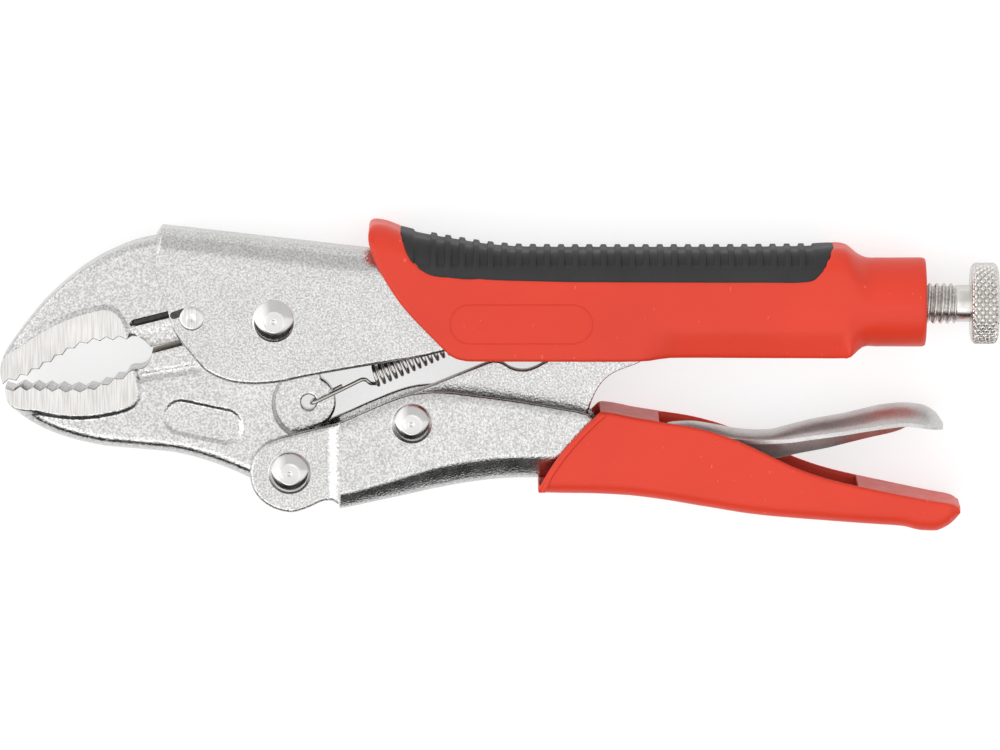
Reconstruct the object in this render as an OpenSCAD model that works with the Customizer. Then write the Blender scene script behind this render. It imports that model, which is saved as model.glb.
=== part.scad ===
// Locking pliers, 250 mm class, drawn in millimetres and lying on one side.
// The tool is laid out around its main pivot and moved to the floor at the end.
// +X points from the jaws to the adjusting knob and +Z is the tool's thickness.

/* [Screw] */
// Height of the adjusting screw's axis above the main pivot
screw_y = 3.3; // [3.1:0.1:3.5]
// Radius of the knurled knob
knob_r = 10.2; // [9.6:0.2:10.8]
// Radius of the thread crests
crest_r = 5.1; // [4.8:0.1:5.2]
// Pitch of the thread
pitch = 1.75; // [1.5:0.05:2]
// Radial running clearance of every shaft in its hole
run = 0.05; // [0.03:0.01:0.08]

/* [Sheet metal] */
// Half of the upper shell's outer width
shell_z = 8.6; // [8.5:0.1:8.8]
// Thickness of the upper shell's sheet
shell_t = 2.5; // [2.3:0.1:2.5]
// Half of the lower channel's outer width behind the joggle
chan_z = 8.5; // [8.4:0.1:8.6]
// Thickness of the lower channel's sheet
chan_t = 2; // [1.8:0.1:2]

/* [Jaws] */
// Half of the thickness of the milled jaw faces and the pivot boss
jaw_z = 6; // [5.8:0.1:6]
// Half of the thickness of the forged jaw bodies
body_z = 5.2; // [5:0.1:5.3]
// Depth of the gripping teeth
tooth_d = 0.9; // [0.6:0.1:1.1]

/* [Rivets] */
// Height of the main rivet's domed head
head_h = 2.4; // [2:0.1:2.6]
// Radius of the rivet shanks in the jaw and the link
shank_r = 3.5; // [3.3:0.1:3.6]

/* [Grips] */
// Half of the upper grip's width, which sets the resting face
grip_z = 11.3; // [11.2:0.1:11.6]
// Half of the lower grip's width
low_z = 10.3; // [10.1:0.1:10.5]
// Number of ribs across the black insert
ribs = 27; // [21:1:29]

/* [Hidden] */
$fn = 64;
pivot_b = [3.8, -38.5];
pivot_c = [34.4, -25.8];
pivot_e = [103.5, -33];
tab_c = [8.5, -21.5];
anchor = [62, 1.4];
pin_c = [-20.5, 0.7];
main_r = 4;
lug_in = body_z + 0.15;
lug_out = lug_in + chan_t;
x_front = -68.5;
knob_x0 = 174.2;
knob_len = 7.4;
tail_y = -53.8;
horn_y = 24.1;
mid_x = (x_front + knob_x0 + knob_len) / 2;
mid_y = (tail_y + horn_y) / 2;
bush_x0 = 141;
bush_x1 = 162.6;
collar_x1 = 163.4;
tip_x0 = 105;
tip_x1 = 109;
socket_r = 9.6;
bush_r = 7.2;
head_c_h = grip_z - chan_z;
link_z = 2.1;

// ---------- shared shapes ----------

// Moves a shape drawn around the main pivot into the finished part's frame.
module place() {
  translate([-mid_x, -mid_y, grip_z])
    children();
}

// Plate with its thickness split evenly above and below the mid-plane.
module plate(half) {
  translate([0, 0, -half])
    linear_extrude(2 * half)
      children();
}

// Cylinder across the tool, centred on the mid-plane.
module cross(p, r, half) {
  translate([p[0], p[1], -half])
    cylinder(r = r, h = 2 * half);
}

// Cylinder along the tool, from x0 to x1 on the screw's axis.
module along(x0, x1, r) {
  translate([x0, screw_y, 0])
    rotate([0, 90, 0])
      cylinder(r = r, h = x1 - x0);
}

// Slot with round ends between two points.
module slot(p, q, r) {
  a = atan2(q[1] - p[1], q[0] - p[0]);
  polygon(concat(
    [for (i = [0 : 10]) q + r * [cos(a - 90 + 18 * i), sin(a - 90 + 18 * i)]],
    [for (i = [0 : 10]) p + r * [cos(a + 90 + 18 * i), sin(a + 90 + 18 * i)]]));
}

// Rectangle with two round corners at its far end, used for folded sheet.
// The section runs from y = 0 down to y = -depth and is w wide on each side.
module fold_section(w, depth, r) {
  translate([-w, -depth])
    square([2 * w, depth - r]);
  translate([-w + r, -depth])
    square([2 * (w - r), depth]);
  for (s = [-1, 1])
    translate([s * (w - r), -r])
      circle(r = r);
}

// Straight folded bar whose top line starts at p and runs len at the angle a.
// flip = 1 keeps the fold at the top and flip = -1 puts it at the bottom.
module fold_bar(p, a, len, w, depth, r, flip = 1) {
  translate([p[0], p[1], 0])
    rotate([0, 0, a])
      rotate([0, 90, 0])
        linear_extrude(len)
          scale_y(flip)
            fold_section(w, depth, r);
}

module scale_y(s) {
  if (s > 0)
    children();
  else
    mirror([0, 1])
      children();
}

// Domed head of a rivet with a small centre dimple, standing on z = 0.
module dome(r, h) {
  ball = (r * r + h * h) / (2 * h);
  difference() {
    intersection() {
      translate([0, 0, h - ball])
        sphere(r = ball);
      cylinder(r = r, h = h + 1);
    }
    translate([0, 0, h + 0.7])
      sphere(r = 1.3);
  }
}

// Rivet with a shank and a domed head on each side.
module rivet(p, r, grip_half, head_r, h) {
  cross(p, r, grip_half);
  for (s = [0, 1])
    translate([p[0], p[1], 0])
      mirror([0, 0, s])
        translate([0, 0, grip_half])
          dome(head_r, h);
}

// ---------- jaws ----------

fixed_crests = [[-67.9, -16.4], [-64.4, -15.4], [-61.2, -14.1], [-58.3, -12.5],
                [-55.3, -10.7], [-52.4, -8.9], [-49.4, -7.2], [-46.2, -6],
                [-43, -5.4], [-39.8, -5.2], [-36.8, -5]];

fixed_outer = [[-29.5, 20.2], [-34.8, 19], [-39.8, 17], [-44.2, 14.8], [-48.7, 11.8],
               [-53.2, 8.1], [-57.6, 3.9], [-61.6, -0.8], [-64.7, -4.9], [-67, -8.3],
               [-68.3, -11], [-68.5, -13.5]];

// Upper jaw: curved toothed nose and a tang that fills the front of the shell.
module fixed_jaw_shape() {
  polygon(concat(
    [[-6, 17.4], [-20, 19.1]],
    fixed_outer,
    fixed_crests,
    [[-34.6, -4.6], [-33, -4.9], [-31.6, -6], [-30.9, -7], [-24.5, -5.6], [-8, -3],
     [-6, 6]]));
}

// Milled side face above the upper teeth.
module fixed_pad_shape() {
  polygon(concat(
    [[-37.2, -1.5], [-38.6, 0.9], [-42, 2.5], [-46.4, 1.7], [-50.9, 0.3],
     [-55.4, -1.7], [-59.8, -4.2], [-63.5, -6.8], [-66.6, -8.6], [-67.9, -11]],
    fixed_crests));
}

module fixed_jaw() {
  color([0.78, 0.78, 0.8])
    place()
      difference() {
        union() {
          plate(body_z)
            difference() {
              fixed_jaw_shape();
              fixed_teeth();
            }
          plate(jaw_z)
            difference() {
              fixed_pad_shape();
              fixed_teeth();
            }
        }
        cross([0, 0], 10.1, jaw_z + 1);
        cross(pin_c, 3.1, jaw_z + 1);
        for (s = [-1, 1])
          translate([0, 0, s * (body_z - 0.8) - (s < 0 ? 2 : 0)])
            linear_extrude(2)
              slot([-34.6, -0.8], [-24, 1.9], 0.8);
      }
}

module fixed_teeth() {
  for (i = [0 : len(fixed_crests) - 3]) {
    p = fixed_crests[i];
    q = fixed_crests[i + 1];
    v = q - p;
    n = [-v[1], v[0]] / norm(v);
    polygon([p + v * 0.5 + n * tooth_d, p + v * 0.97 - n * 0.3, p + v * 0.03 - n * 0.3]);
  }
}

low_crests = [[-67.3, -17.3], [-63.2, -16.9], [-59.8, -16.9], [-56.6, -17],
              [-53.4, -17.2], [-49.9, -17.4], [-46.4, -17.2], [-43, -16.2],
              [-39.8, -14.9], [-36.4, -13.2]];

low_outer = [[-67, -20], [-65.7, -22.7], [-63, -25.2], [-59.8, -27.2], [-55.4, -29.3],
             [-50.9, -30.8], [-46.4, -31.9], [-42, -32.7], [-33, -33.5],
             [-24.1, -34.5], [-15.2, -37], [-6.5, -40.7]];

// Lower jaw: toothed nose, pivot boss, lobe for the lever and a rear corner.
module movable_jaw_shape() {
  polygon(concat(
    low_outer,
    [[0, -45.6], [6, -46.4], [11, -43], [11.6, -37], [10.5, -31],
     [8, -22], [9, -8], [4, 6], [-6, 6], [-9.1, -3.2], [-16, -5.5], [-23.3, -7.4],
     [-30.7, -9.4], [-31, -11], [-32, -12.2], [-33.6, -12.7], [-35, -12.4]],
    [for (i = [len(low_crests) - 1 : -1 : 0]) low_crests[i]]));
}

// Milled side face below the lower teeth.
module low_pad_shape() {
  polygon(concat(
    [[-67, -20], [-65.2, -22], [-59.8, -22.6], [-55.4, -23.5], [-50.9, -24],
     [-46.4, -23.9], [-42, -23.3], [-37.5, -22.1], [-34.8, -20.6], [-34, -18],
     [-34.6, -15], [-35.4, -13.2]],
    [for (i = [len(low_crests) - 1 : -1 : 0]) low_crests[i]]));
}

module low_teeth() {
  for (i = [0 : len(low_crests) - 2]) {
    p = low_crests[i];
    q = low_crests[i + 1];
    v = q - p;
    n = [v[1], -v[0]] / norm(v);
    polygon([p + v * 0.5 + n * tooth_d, p + v * 0.97 - n * 0.3, p + v * 0.03 - n * 0.3]);
  }
}

module movable_jaw() {
  color([0.78, 0.78, 0.8])
    place()
      difference() {
        union() {
          difference() {
            union() {
              plate(body_z)
                difference() {
                  movable_jaw_shape();
                  low_teeth();
                }
              plate(jaw_z)
                difference() {
                  low_pad_shape();
                  low_teeth();
                }
            }
            // the body stops at a curved step around the spring tab
            cross(tab_c, 8.4, jaw_z + 1);
          }
          cross(tab_c, 8.6, 1.9);
          cross([0, 0], 9.6, jaw_z);
        }
        // round off the tab on its free side
        translate([0, 0, -4])
          linear_extrude(8)
            difference() {
              translate([9, -32])
                square([12, 24]);
              translate(tab_c)
                circle(r = 6.8);
              translate([0, -43])
                square([11.2, 13]);
              circle(r = 9.6);
            }
        cross(tab_c, 1.9, 8);
        cross([0, 0], main_r + run, 8);
        cross(pivot_b, shank_r + run, 8);
        for (s = [-1, 1])
          translate([0, 0, s * (body_z - 0.8) - (s < 0 ? 2 : 0)])
            linear_extrude(2)
              slot([-32.5, -14.4], [-19.5, -12.2], 0.9);
        translate([0, 0, body_z - 0.35])
          linear_extrude(2)
            slot([-23.4, -24.7], [-12.4, -27.1], 4.2);
      }
}

module fixed_jaw_pin() {
  color([0.86, 0.86, 0.87])
    place() {
      cross(pin_c, 3.1, shell_z);
      cross(pin_c, 2.6, shell_z + 0.3);
    }
}

module main_pivot_rivet() {
  color([0.86, 0.86, 0.87])
    place()
      rivet([0, 0], main_r, shell_z, 5.3, head_h);
}

// ---------- upper handle ----------

shell_side = [[-29.4, 24], [-29, 11], [-26.6, 2.6], [-25.2, -2.4], [-21.4, -7.7],
              [-17.6, -12.1], [-13.6, -14.6], [-10.1, -15.7], [-5.6, -16.1],
              [-2.5, -16], [2, -15.5], [10.9, -13.6], [28.8, -10.5], [42.4, -7.8],
              [60, -7.5], [149, -7.5], [149, 24]];

// Outline of the folded upper handle, grown outwards by g.
module shell_bars(g, r) {
  fold_bar([-40, 24.3 + g], -6.5, 110, shell_z + g, 60, r);
  fold_bar([30, 13 + g], 0, 119, shell_z + g, 50, r);
}

module handle_shell() {
  color([0.8, 0.8, 0.82])
    place()
      difference() {
        union() {
          difference() {
            intersection() {
              shell_bars(0, 5.7);
              plate(shell_z + 1)
                polygon(shell_side);
            }
            difference() {
              shell_bars(-shell_t, 3.2);
              translate([bush_x0 - 1, -60, -20])
                cube([60, 120, 40]);
            }
          }
          along(bush_x0 - 1, 160, socket_r);
        }
        along(bush_x0, 161, bush_r);
        along(bush_x0 - 2, 161, crest_r + 0.6);
        cross([0, 0], main_r, 12);
        cross(pin_c, 3.1, 12);
        cross(anchor, 1.5, 12);
      }
}

module spring_anchor_pin() {
  color([0.7, 0.7, 0.72])
    place()
      cross(anchor, 1.5, shell_z);
}

module screw_bush() {
  color([0.62, 0.62, 0.64])
    place()
      difference() {
        along(bush_x0, bush_x1, bush_r);
        along(bush_x0 - 1, bush_x1 + 1, crest_r + run);
      }
}

// Grip envelope: two straight bars, the front one tilted down to the rear.
module grip_bars(g, r) {
  fold_bar([10, 27.6 + g], -12.8, 60, grip_z, 70, r);
  fold_bar([40, 17.6 + g], 0, 111, grip_z, 60, r);
}

grip_side = [[23.6, 22], [24.4, 18.7], [26.7, 12.6], [30.8, 5.7], [37, -1.4],
             [40.7, -5.2], [43.7, -8.3], [45.8, -9.4], [48.2, -9.8], [91, -9.9],
             [97, -10.3], [122.7, -10.9], [139.7, -11.3], [143.4, -11.1],
             [146.6, -9.6], [149.2, -7.9], [151.5, -7.2], [151.5, 14.6],
             [148.5, 15.6], [146.3, 16.5], [142.5, 17.8], [135, 18], [60, 18.4],
             [37.8, 22.6], [31.2, 23.2], [27.5, 24.1], [25.2, 24.1], [24, 23.3]];

insert_side = [[31, 26], [32.2, 21.2], [33.2, 17.2], [35.3, 14.1], [38.7, 12],
               [46.1, 10.9], [58.6, 10.4], [75, 10.1], [106, 9.9], [131, 9.8],
               [134.8, 10.5], [136.8, 12.4], [138.5, 15.7], [140.3, 20], [140, 26]];

// Hollow of the upper grip: the shell with a hair of clearance around it.
module grip_hollow() {
  shell_bars(0.05, 5.75);
  along(139, 161.5, socket_r + 0.05);
}

module upper_grip() {
  color([0.86, 0.24, 0.18])
    place()
      difference() {
        union() {
          intersection() {
            grip_bars(0, 6);
            plate(grip_z + 1)
              polygon(grip_side);
          }
          along(150.6, collar_x1 - 0.6, 11.2);
          along(152, collar_x1, 10.6);
        }
        difference() {
          grip_hollow();
          translate([161.6, -30, -30])
            cube([20, 60, 60]);
        }
        along(150, 170, bush_r + 0.05);
        plate(grip_z + 2)
          polygon(insert_side);
        // badge outline, left blank
        translate([0, 0, grip_z - 0.3])
          linear_extrude(2)
            difference() {
              slot([48.8, -0.4], [74.5, -0.4], 5);
              slot([48.8, -0.4], [74.5, -0.4], 4.6);
            }
      }
}

module grip_insert() {
  color([0.16, 0.16, 0.17])
    place()
      difference() {
        union() {
          intersection() {
            grip_bars(-0.9, 6);
            plate(grip_z + 1)
              polygon(insert_side);
          }
          for (i = [0 : ribs - 1])
            intersection() {
              grip_bars(0, 6);
              translate([39.9 + 92 * i / (ribs - 1), 14, -20])
                cube([1.7, 12, 40]);
            }
        }
        grip_hollow();
      }
}

// ---------- adjusting screw ----------

module adjusting_screw() {
  color([0.6, 0.6, 0.62])
    place() {
      along(tip_x1, 171, crest_r - 0.75);
      for (i = [0 : floor(59.5 / pitch)])
        translate([110 + i * pitch, screw_y, 0])
          rotate([0, 90, 0])
            thread_ring();
      along(170.6, knob_x0 + 1, 4.65);
      along(knob_x0 + 1, knob_x0 + knob_len - 1, knob_r);
      along(knob_x0, knob_x0 + knob_len, knob_r - 1.2);
    }
}

// One crest of the thread, tapered on both flanks.
module thread_ring() {
  rotate_extrude()
    polygon([[crest_r - 1.2, -0.15], [crest_r - 0.75, -0.15], [crest_r, 0.45 * pitch - 0.1],
             [crest_r, 0.45 * pitch + 0.1], [crest_r - 0.75, 0.9 * pitch + 0.15],
             [crest_r - 1.2, 0.9 * pitch + 0.15]]);
}

module screw_tip() {
  color([0.6, 0.6, 0.62])
    place() {
      along(tip_x0 + 0.8, tip_x1 - 0.05, 3.6);
      along(tip_x0, tip_x1 - 1, 2.8);
    }
}

// ---------- lower handle ----------

chan_side = [[15.4, -26.2], [22.7, -23], [29.4, -20.3], [33.8, -18.9], [38, -18.2],
             [42, -18.2], [48.8, -18.8], [58.8, -20], [71.2, -22.1], [78.6, -23.8],
             [81, -26.2], [104, -30.5], [116, -34], [128, -39.5], [142, -44.5], [162, -47.7],
             [162, -60], [15.4, -60]];

lug_side = [[-1.2, -29.6], [2.2, -29.4], [6.5, -28.6], [10.2, -27.7], [14.2, -26.8],
            [16.2, -26.6], [16.2, -46.3], [13.8, -45.8], [11.5, -46], [9.2, -46.9]];

// Outline of the folded lower handle, grown outwards by g.
module chan_bars(g, r) {
  fold_bar([0, -51.2 - g], 11.3, 70, chan_z + g, 60, r, -1);
  fold_bar([20, -41.4 - g], 1.6, 60, chan_z + g, 60, r, -1);
  fold_bar([40, -36.9 - g], -5.7, 123, chan_z + g, 60, r, -1);
}

// Folded channel with two pivot lugs joggled inwards at its front end.
module lever_channel() {
  color([0.79, 0.79, 0.81])
    place()
      difference() {
        union() {
          intersection() {
            difference() {
              chan_bars(0, 4.6);
              chan_bars(-chan_t, 2.6);
            }
            translate([0, 0, -12])
              linear_extrude(24)
                polygon(chan_side);
          }
          for (s = [0, 1])
            mirror([0, 0, s]) {
              translate([0, 0, lug_in])
                linear_extrude(chan_t) {
                  translate(pivot_b)
                    circle(r = 10.1);
                  polygon(lug_side);
                }
              intersection() {
                joggle();
                translate([0, 0, lug_in])
                  linear_extrude(6)
                    polygon([[13.4, -27.3], [18.2, -25.6], [18.2, -45.9], [13.4, -45.6]]);
              }
            }
        }
        cross(pivot_b, shank_r, 12);
        cross(pivot_c, shank_r, 12);
        cross(pivot_e, 2, 12);
      }
}

// Sloped web that joins a lug to the wider channel wall.
module joggle() {
  translate([0, -50, 0])
    rotate([-90, 0, 0])
      mirror([0, 1])
        linear_extrude(30)
          polygon([[13.4, lug_in + 0.2], [13.4, lug_out - 0.2], [15.8, chan_z - 0.2],
                   [18, chan_z - 0.2], [18, chan_z - chan_t + 0.3],
                   [16.9, lug_in + 0.25]]);
}

module lever_pivot_rivet() {
  color([0.86, 0.86, 0.87])
    place()
      rivet(pivot_b, shank_r, lug_out, 5.4, 2.9);
}

module link_rivet() {
  color([0.86, 0.86, 0.87])
    place()
      rivet(pivot_c, shank_r, chan_z, 5.1, head_c_h);
}

// ---------- toggle link ----------

link_side = [[29.5, -20.5], [40, -16.9], [53.2, -11.6], [57.1, -11.5], [59.5, -12.9],
             [62, -13.4], [65.5, -12.9], [68.8, -11.5], [75, -7.5], [86, -0.5],
             [96, 5.6], [99.2, 6.6], [101.4, 5], [101.8, 2], [100.5, -1.2],
             [97, -5.2], [91.5, -11.3], [85, -13.9], [81.4, -16.8], [79, -20.9],
             [78, -24.5], [75, -27.4], [70, -29], [60, -30.6], [48, -32], [38, -32.6]];

module toggle_link() {
  color([0.77, 0.77, 0.79])
    place()
      difference() {
        union() {
          plate(link_z)
            polygon(link_side);
          cross(pivot_c, 6.8, link_z);
          cross(pivot_c, 5.6, chan_z - chan_t - 0.15);
        }
        cross(pivot_c, shank_r + run, 12);
      }
}

// ---------- release lever ----------

release_top = [[106, -29.6], [111, -29.5], [117, -29.5], [121, -29.2], [129, -27.7],
               [139, -26.1], [148, -24.2], [153, -23], [158.4, -22.3], [162, -22.6],
               [165.3, -23.8], [167.4, -25.6], [168.4, -27.6]];

function lower_by(p, d) = [for (i = [len(p) - 1 : -1 : 0]) p[i] + [0, -d]];

// Stamped thumb lever: a bent top strip, two pivot ears and a tapering rib.
module release_lever() {
  color([0.75, 0.75, 0.77])
    place()
      difference() {
        union() {
          plate(6)
            polygon(concat(release_top, lower_by(release_top, 1.6)));
          for (s = [-1, 1])
            translate([0, 0, s * 5.1 - 0.9])
              linear_extrude(1.8)
                polygon([[92, -32.6], [97, -30.6], [106, -29.6], [118, -29.6],
                         [140, -27], [156, -24.5], [148, -29.2], [131, -33.4],
                         [118, -36.2], [106, -37], [99, -36.4], [93, -34.6]]);
          plate(5.4)
            polygon([[92, -32.6], [93.6, -32], [93.6, -34.2], [93, -34.6]]);
        }
        cross(pivot_e, 2 + run, 12);
      }
}

module release_pin() {
  color([0.7, 0.7, 0.72])
    place()
      cross(pivot_e, 2, chan_z);
}

// ---------- tension spring ----------

coil_a = [24.4, -15.2];
coil_ang = 23.6;
coils = 17;
coil_pitch = 2;
coil_len = coils * coil_pitch;

// Scalloped tube that stands for the coil, with a hook wire at each end.
module tension_spring() {
  color([0.32, 0.32, 0.34])
    place() {
      translate([coil_a[0], coil_a[1], 0])
        rotate([0, 0, coil_ang])
          rotate([0, 90, 0]) {
            rotate_extrude()
              polygon(concat(
                [[2.1, coil_len], [2.1, 0]],
                [for (i = [0 : coils - 1])
                  each [[2.6, i * coil_pitch], [3.1, (i + 0.5) * coil_pitch]]],
                [[2.6, coil_len]]));
            translate([0, 0, coil_len - 1])
              cylinder(r = 2.5, h = 1);
            translate([0, 0, coil_len - 0.5])
              cylinder(r = 0.45, h = 5.2);
          }
      cross([9.3, -21.6], 0.6, 2.9);
      wire([9.3, -21.6, 2.6], [21.6, -15.8, 2.4]);
      translate([21.6, -15.8, 0.5])
        cylinder(r = 0.62, h = 2.5);
      wire([21.6, -15.8, 1.2], [25.6, -17.6, 0.2]);
      wire([9.3, -21.6, -2.45], [16.4, -18.2, -2.45]);
    }
}

// Straight length of wire.
module wire(p, q) {
  v = q - p;
  translate(p)
    rotate([0, 90 - atan2(v[2], norm([v[0], v[1]])), atan2(v[1], v[0])])
      cylinder(r = 0.45, h = norm(v));
}

// ---------- lower grip ----------

low_side = [[81.4, -22.9], [90.6, -24.4], [96.3, -25.3], [103.5, -26.4], [110.7, -28.2],
            [116.6, -30.4], [122.8, -33.3], [131.1, -37.2], [138.8, -39.8],
            [148, -42], [157.2, -43.9], [164.2, -45.3], [168.8, -46.2],
            [171.3, -47.4], [171.9, -48.8], [170.8, -51.2], [167.7, -53.2],
            [164.9, -53.8], [161.9, -53.4], [157.2, -52.1], [148, -51.5],
            [138.8, -50.8], [121.2, -49.2], [107.2, -47.1], [95.7, -45.1],
            [80.4, -43.9], [68.2, -43.7], [65.9, -42.8], [68.5, -37.9],
            [72, -32.9], [76, -28.3], [80, -24.2]];

module low_bars() {
  fold_bar([50, -43.8], 0, 60, low_z, 60, 5, -1);
  intersection() {
    fold_bar([60, -39.6], -9, 125, low_z, 60, 5, -1);
    fold_bar([60, -44.1], -4.8, 125, low_z, 60, 5, -1);
  }
}

// Side view of the hollow: a strap at the front, an open mouth, a closed tail.
low_hollow = [[60, -15], [80, -15], [80, -24.9], [96.3, -27.3], [96.3, -15],
              [146, -15], [146, -44.5], [162.1, -47.3], [162.1, -60], [60, -60]];

module lower_grip() {
  color([0.86, 0.24, 0.18])
    place()
      difference() {
        intersection() {
          low_bars();
          plate(low_z + 1)
            polygon(low_side);
        }
        intersection() {
          chan_bars(0.05, 4.65);
          plate(low_z + 2)
            polygon(low_hollow);
        }
      }
}

fixed_jaw();
movable_jaw();
fixed_jaw_pin();
handle_shell();
screw_bush();
adjusting_screw();
screw_tip();
main_pivot_rivet();
lever_channel();
lever_pivot_rivet();
link_rivet();
toggle_link();
release_lever();
release_pin();
tension_spring();
spring_anchor_pin();
upper_grip();
grip_insert();
lower_grip();
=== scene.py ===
import math

import bpy
import numpy as np
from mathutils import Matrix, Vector
from mathutils.geometry import delaunay_2d_cdt


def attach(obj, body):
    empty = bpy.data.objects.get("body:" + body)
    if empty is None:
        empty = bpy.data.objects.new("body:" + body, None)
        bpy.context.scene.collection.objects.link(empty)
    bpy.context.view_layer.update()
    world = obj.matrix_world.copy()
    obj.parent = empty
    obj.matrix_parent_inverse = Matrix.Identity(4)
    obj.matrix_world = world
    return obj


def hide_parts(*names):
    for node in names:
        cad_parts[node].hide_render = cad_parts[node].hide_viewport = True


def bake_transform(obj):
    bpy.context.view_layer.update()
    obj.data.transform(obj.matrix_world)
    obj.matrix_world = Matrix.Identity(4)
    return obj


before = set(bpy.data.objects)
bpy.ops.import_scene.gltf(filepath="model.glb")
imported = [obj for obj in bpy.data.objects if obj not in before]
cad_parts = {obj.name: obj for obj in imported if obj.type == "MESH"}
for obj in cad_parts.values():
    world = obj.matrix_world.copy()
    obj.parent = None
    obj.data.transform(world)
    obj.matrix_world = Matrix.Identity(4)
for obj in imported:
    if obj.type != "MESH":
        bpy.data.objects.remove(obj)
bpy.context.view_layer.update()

# Shapes are written in millimetres around the main pivot, as in the CAD source.
PIVOT_TO_ROW = np.array([-56.55, 14.85, 11.3])
MM = 0.001
SCREW_Y = 3.3    # height of the adjusting screw's axis


def to_row(points):
    """Millimetres in the pivot frame to metres in the shared frame."""
    return (np.asarray(points, float) + PIVOT_TO_ROW) * MM


# ---------------------------------------------------------------- curves

def curve(points):
    """Piecewise-linear y(x) through the points, as a function of arrays."""
    p = np.array(points, float)
    return lambda x: np.interp(x, p[:, 0], p[:, 1])


def smooth_curve(points):
    """Monotone cubic y(x) through the points."""
    p = np.array(points, float)
    xs, ys = p[:, 0], p[:, 1]
    h = np.diff(xs)
    d = np.diff(ys) / h
    m = np.zeros(len(xs))
    m[0], m[-1] = d[0], d[-1]
    for i in range(1, len(xs) - 1):
        if d[i - 1] * d[i] > 0:
            w1, w2 = 2 * h[i] + h[i - 1], h[i] + 2 * h[i - 1]
            m[i] = (w1 + w2) / (w1 / d[i - 1] + w2 / d[i])

    def f(x):
        x = np.clip(np.asarray(x, float), xs[0], xs[-1])
        i = np.clip(np.searchsorted(xs, x) - 1, 0, len(h) - 1)
        t = (x - xs[i]) / h[i]
        a = (1 + 2 * t) * (1 - t) ** 2
        b = t * (1 - t) ** 2
        c = t * t * (3 - 2 * t)
        e = t * t * (t - 1)
        return a * ys[i] + b * h[i] * m[i] + c * ys[i + 1] + e * h[i] * m[i + 1]
    return f


def smoothstep(a, b, x):
    """0 before a and 1 after b, with a soft change between; a may be above b."""
    t = np.clip((np.asarray(x, float) - a) / (b - a), 0, 1)
    return t * t * (3 - 2 * t)


def spline(points, step, closed=False):
    """Evenly spaced points on a Catmull-Rom curve through the points."""
    p = np.array(points, float)
    n = len(p)
    out = []
    last = n if closed else n - 1
    for i in range(last):
        if closed:
            a, b, c, d = (p[(i + k) % n] for k in (-1, 0, 1, 2))
        else:
            a, b, c, d = (p[min(max(i + k, 0), n - 1)] for k in (-1, 0, 1, 2))
        count = max(2, int(np.linalg.norm(c - b) / step))
        for j in range(count):
            t = j / count
            out.append(0.5 * (2 * b + (c - a) * t + (2 * a - 5 * b + 4 * c - d) * t * t
                              + (3 * b - a - 3 * c + d) * t ** 3))
    if not closed:
        out.append(p[-1])
    return np.array(out)


def bend(points, step):
    """Spline through the points, as a list that curve() can take."""
    return [tuple(p) for p in spline(points, step)]


def along_line(points, step):
    """Points every step along straight segments, corners kept."""
    p = np.array(points, float)
    out = []
    for a, b in zip(p[:-1], p[1:]):
        count = max(1, int(round(np.linalg.norm(b - a) / step)))
        for j in range(count):
            out.append(a + (b - a) * j / count)
    out.append(p[-1])
    return np.array(out)


def seg_dist(pts, poly, closed=True):
    """Distance from each point to a polyline."""
    a = poly
    b = np.roll(poly, -1, axis=0)
    if not closed:
        a, b = poly[:-1], poly[1:]
    best = np.full(len(pts), 1e9)
    for k in range(0, len(a), 64):
        p0, p1 = a[k:k + 64], b[k:k + 64]
        d = p1 - p0
        l2 = np.maximum((d ** 2).sum(1), 1e-12)
        t = np.clip(((pts[:, None] - p0[None]) * d[None]).sum(2) / l2[None], 0, 1)
        q = p0[None] + t[..., None] * d[None]
        best = np.minimum(best, np.sqrt(((pts[:, None] - q) ** 2).sum(2)).min(1))
    return best


def inside(pts, poly):
    """True for points inside a closed polygon."""
    x, y = pts[:, 0], pts[:, 1]
    res = np.zeros(len(pts), bool)
    px, py = poly[:, 0], poly[:, 1]
    qx, qy = np.roll(px, -1), np.roll(py, -1)
    for x0, y0, x1, y1 in zip(px, py, qx, qy):
        cond = (y0 > y) != (y1 > y)
        if cond.any():
            res ^= cond & (x < (x1 - x0) * (y - y0) / ((y1 - y0) or 1e-12) + x0)
    return res


def circle_points(c, r, n):
    """Closed circle of n points."""
    a = np.linspace(0, 2 * math.pi, n, endpoint=False)
    return np.stack([c[0] + r * np.cos(a), c[1] + r * np.sin(a)], 1)


def arc(c, r, start, end, n):
    """Points on a circle between two angles in degrees."""
    a = np.radians(np.linspace(start, end, n))
    return np.stack([c[0] + r * np.cos(a), c[1] + r * np.sin(a)], 1)


# ---------------------------------------------------------------- mesh building

def add_mesh(name, verts, faces, mats, indices=None, sharp=35):
    """Mesh object from millimetre vertices in the pivot frame."""
    me = bpy.data.meshes.new(name)
    me.from_pydata([tuple(v) for v in to_row(verts)], [], [tuple(int(i) for i in f) for f in faces])
    me.update()
    for m in mats:
        me.materials.append(m)
    if indices is not None:
        me.polygons.foreach_set("material_index", np.asarray(indices, np.int32))
    ob = bpy.data.objects.new(name, me)
    bpy.context.scene.collection.objects.link(ob)
    bpy.context.view_layer.objects.active = ob
    ob.select_set(True)
    bpy.ops.object.mode_set(mode="EDIT")
    bpy.ops.mesh.select_all(action="SELECT")
    bpy.ops.mesh.normals_make_consistent(inside=False)
    bpy.ops.object.mode_set(mode="OBJECT")
    ob.select_set(False)
    me.polygons.foreach_set("use_smooth", np.ones(len(me.polygons), bool))
    me.set_sharp_from_angle(angle=math.radians(sharp))
    return ob


def mount(ob, body, slot_name, *nodes):
    """Tie a piece to its body and hide the CAD nodes it replaces; the slot is not used."""
    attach(ob, body)
    if nodes:
        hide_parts(*nodes)


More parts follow.
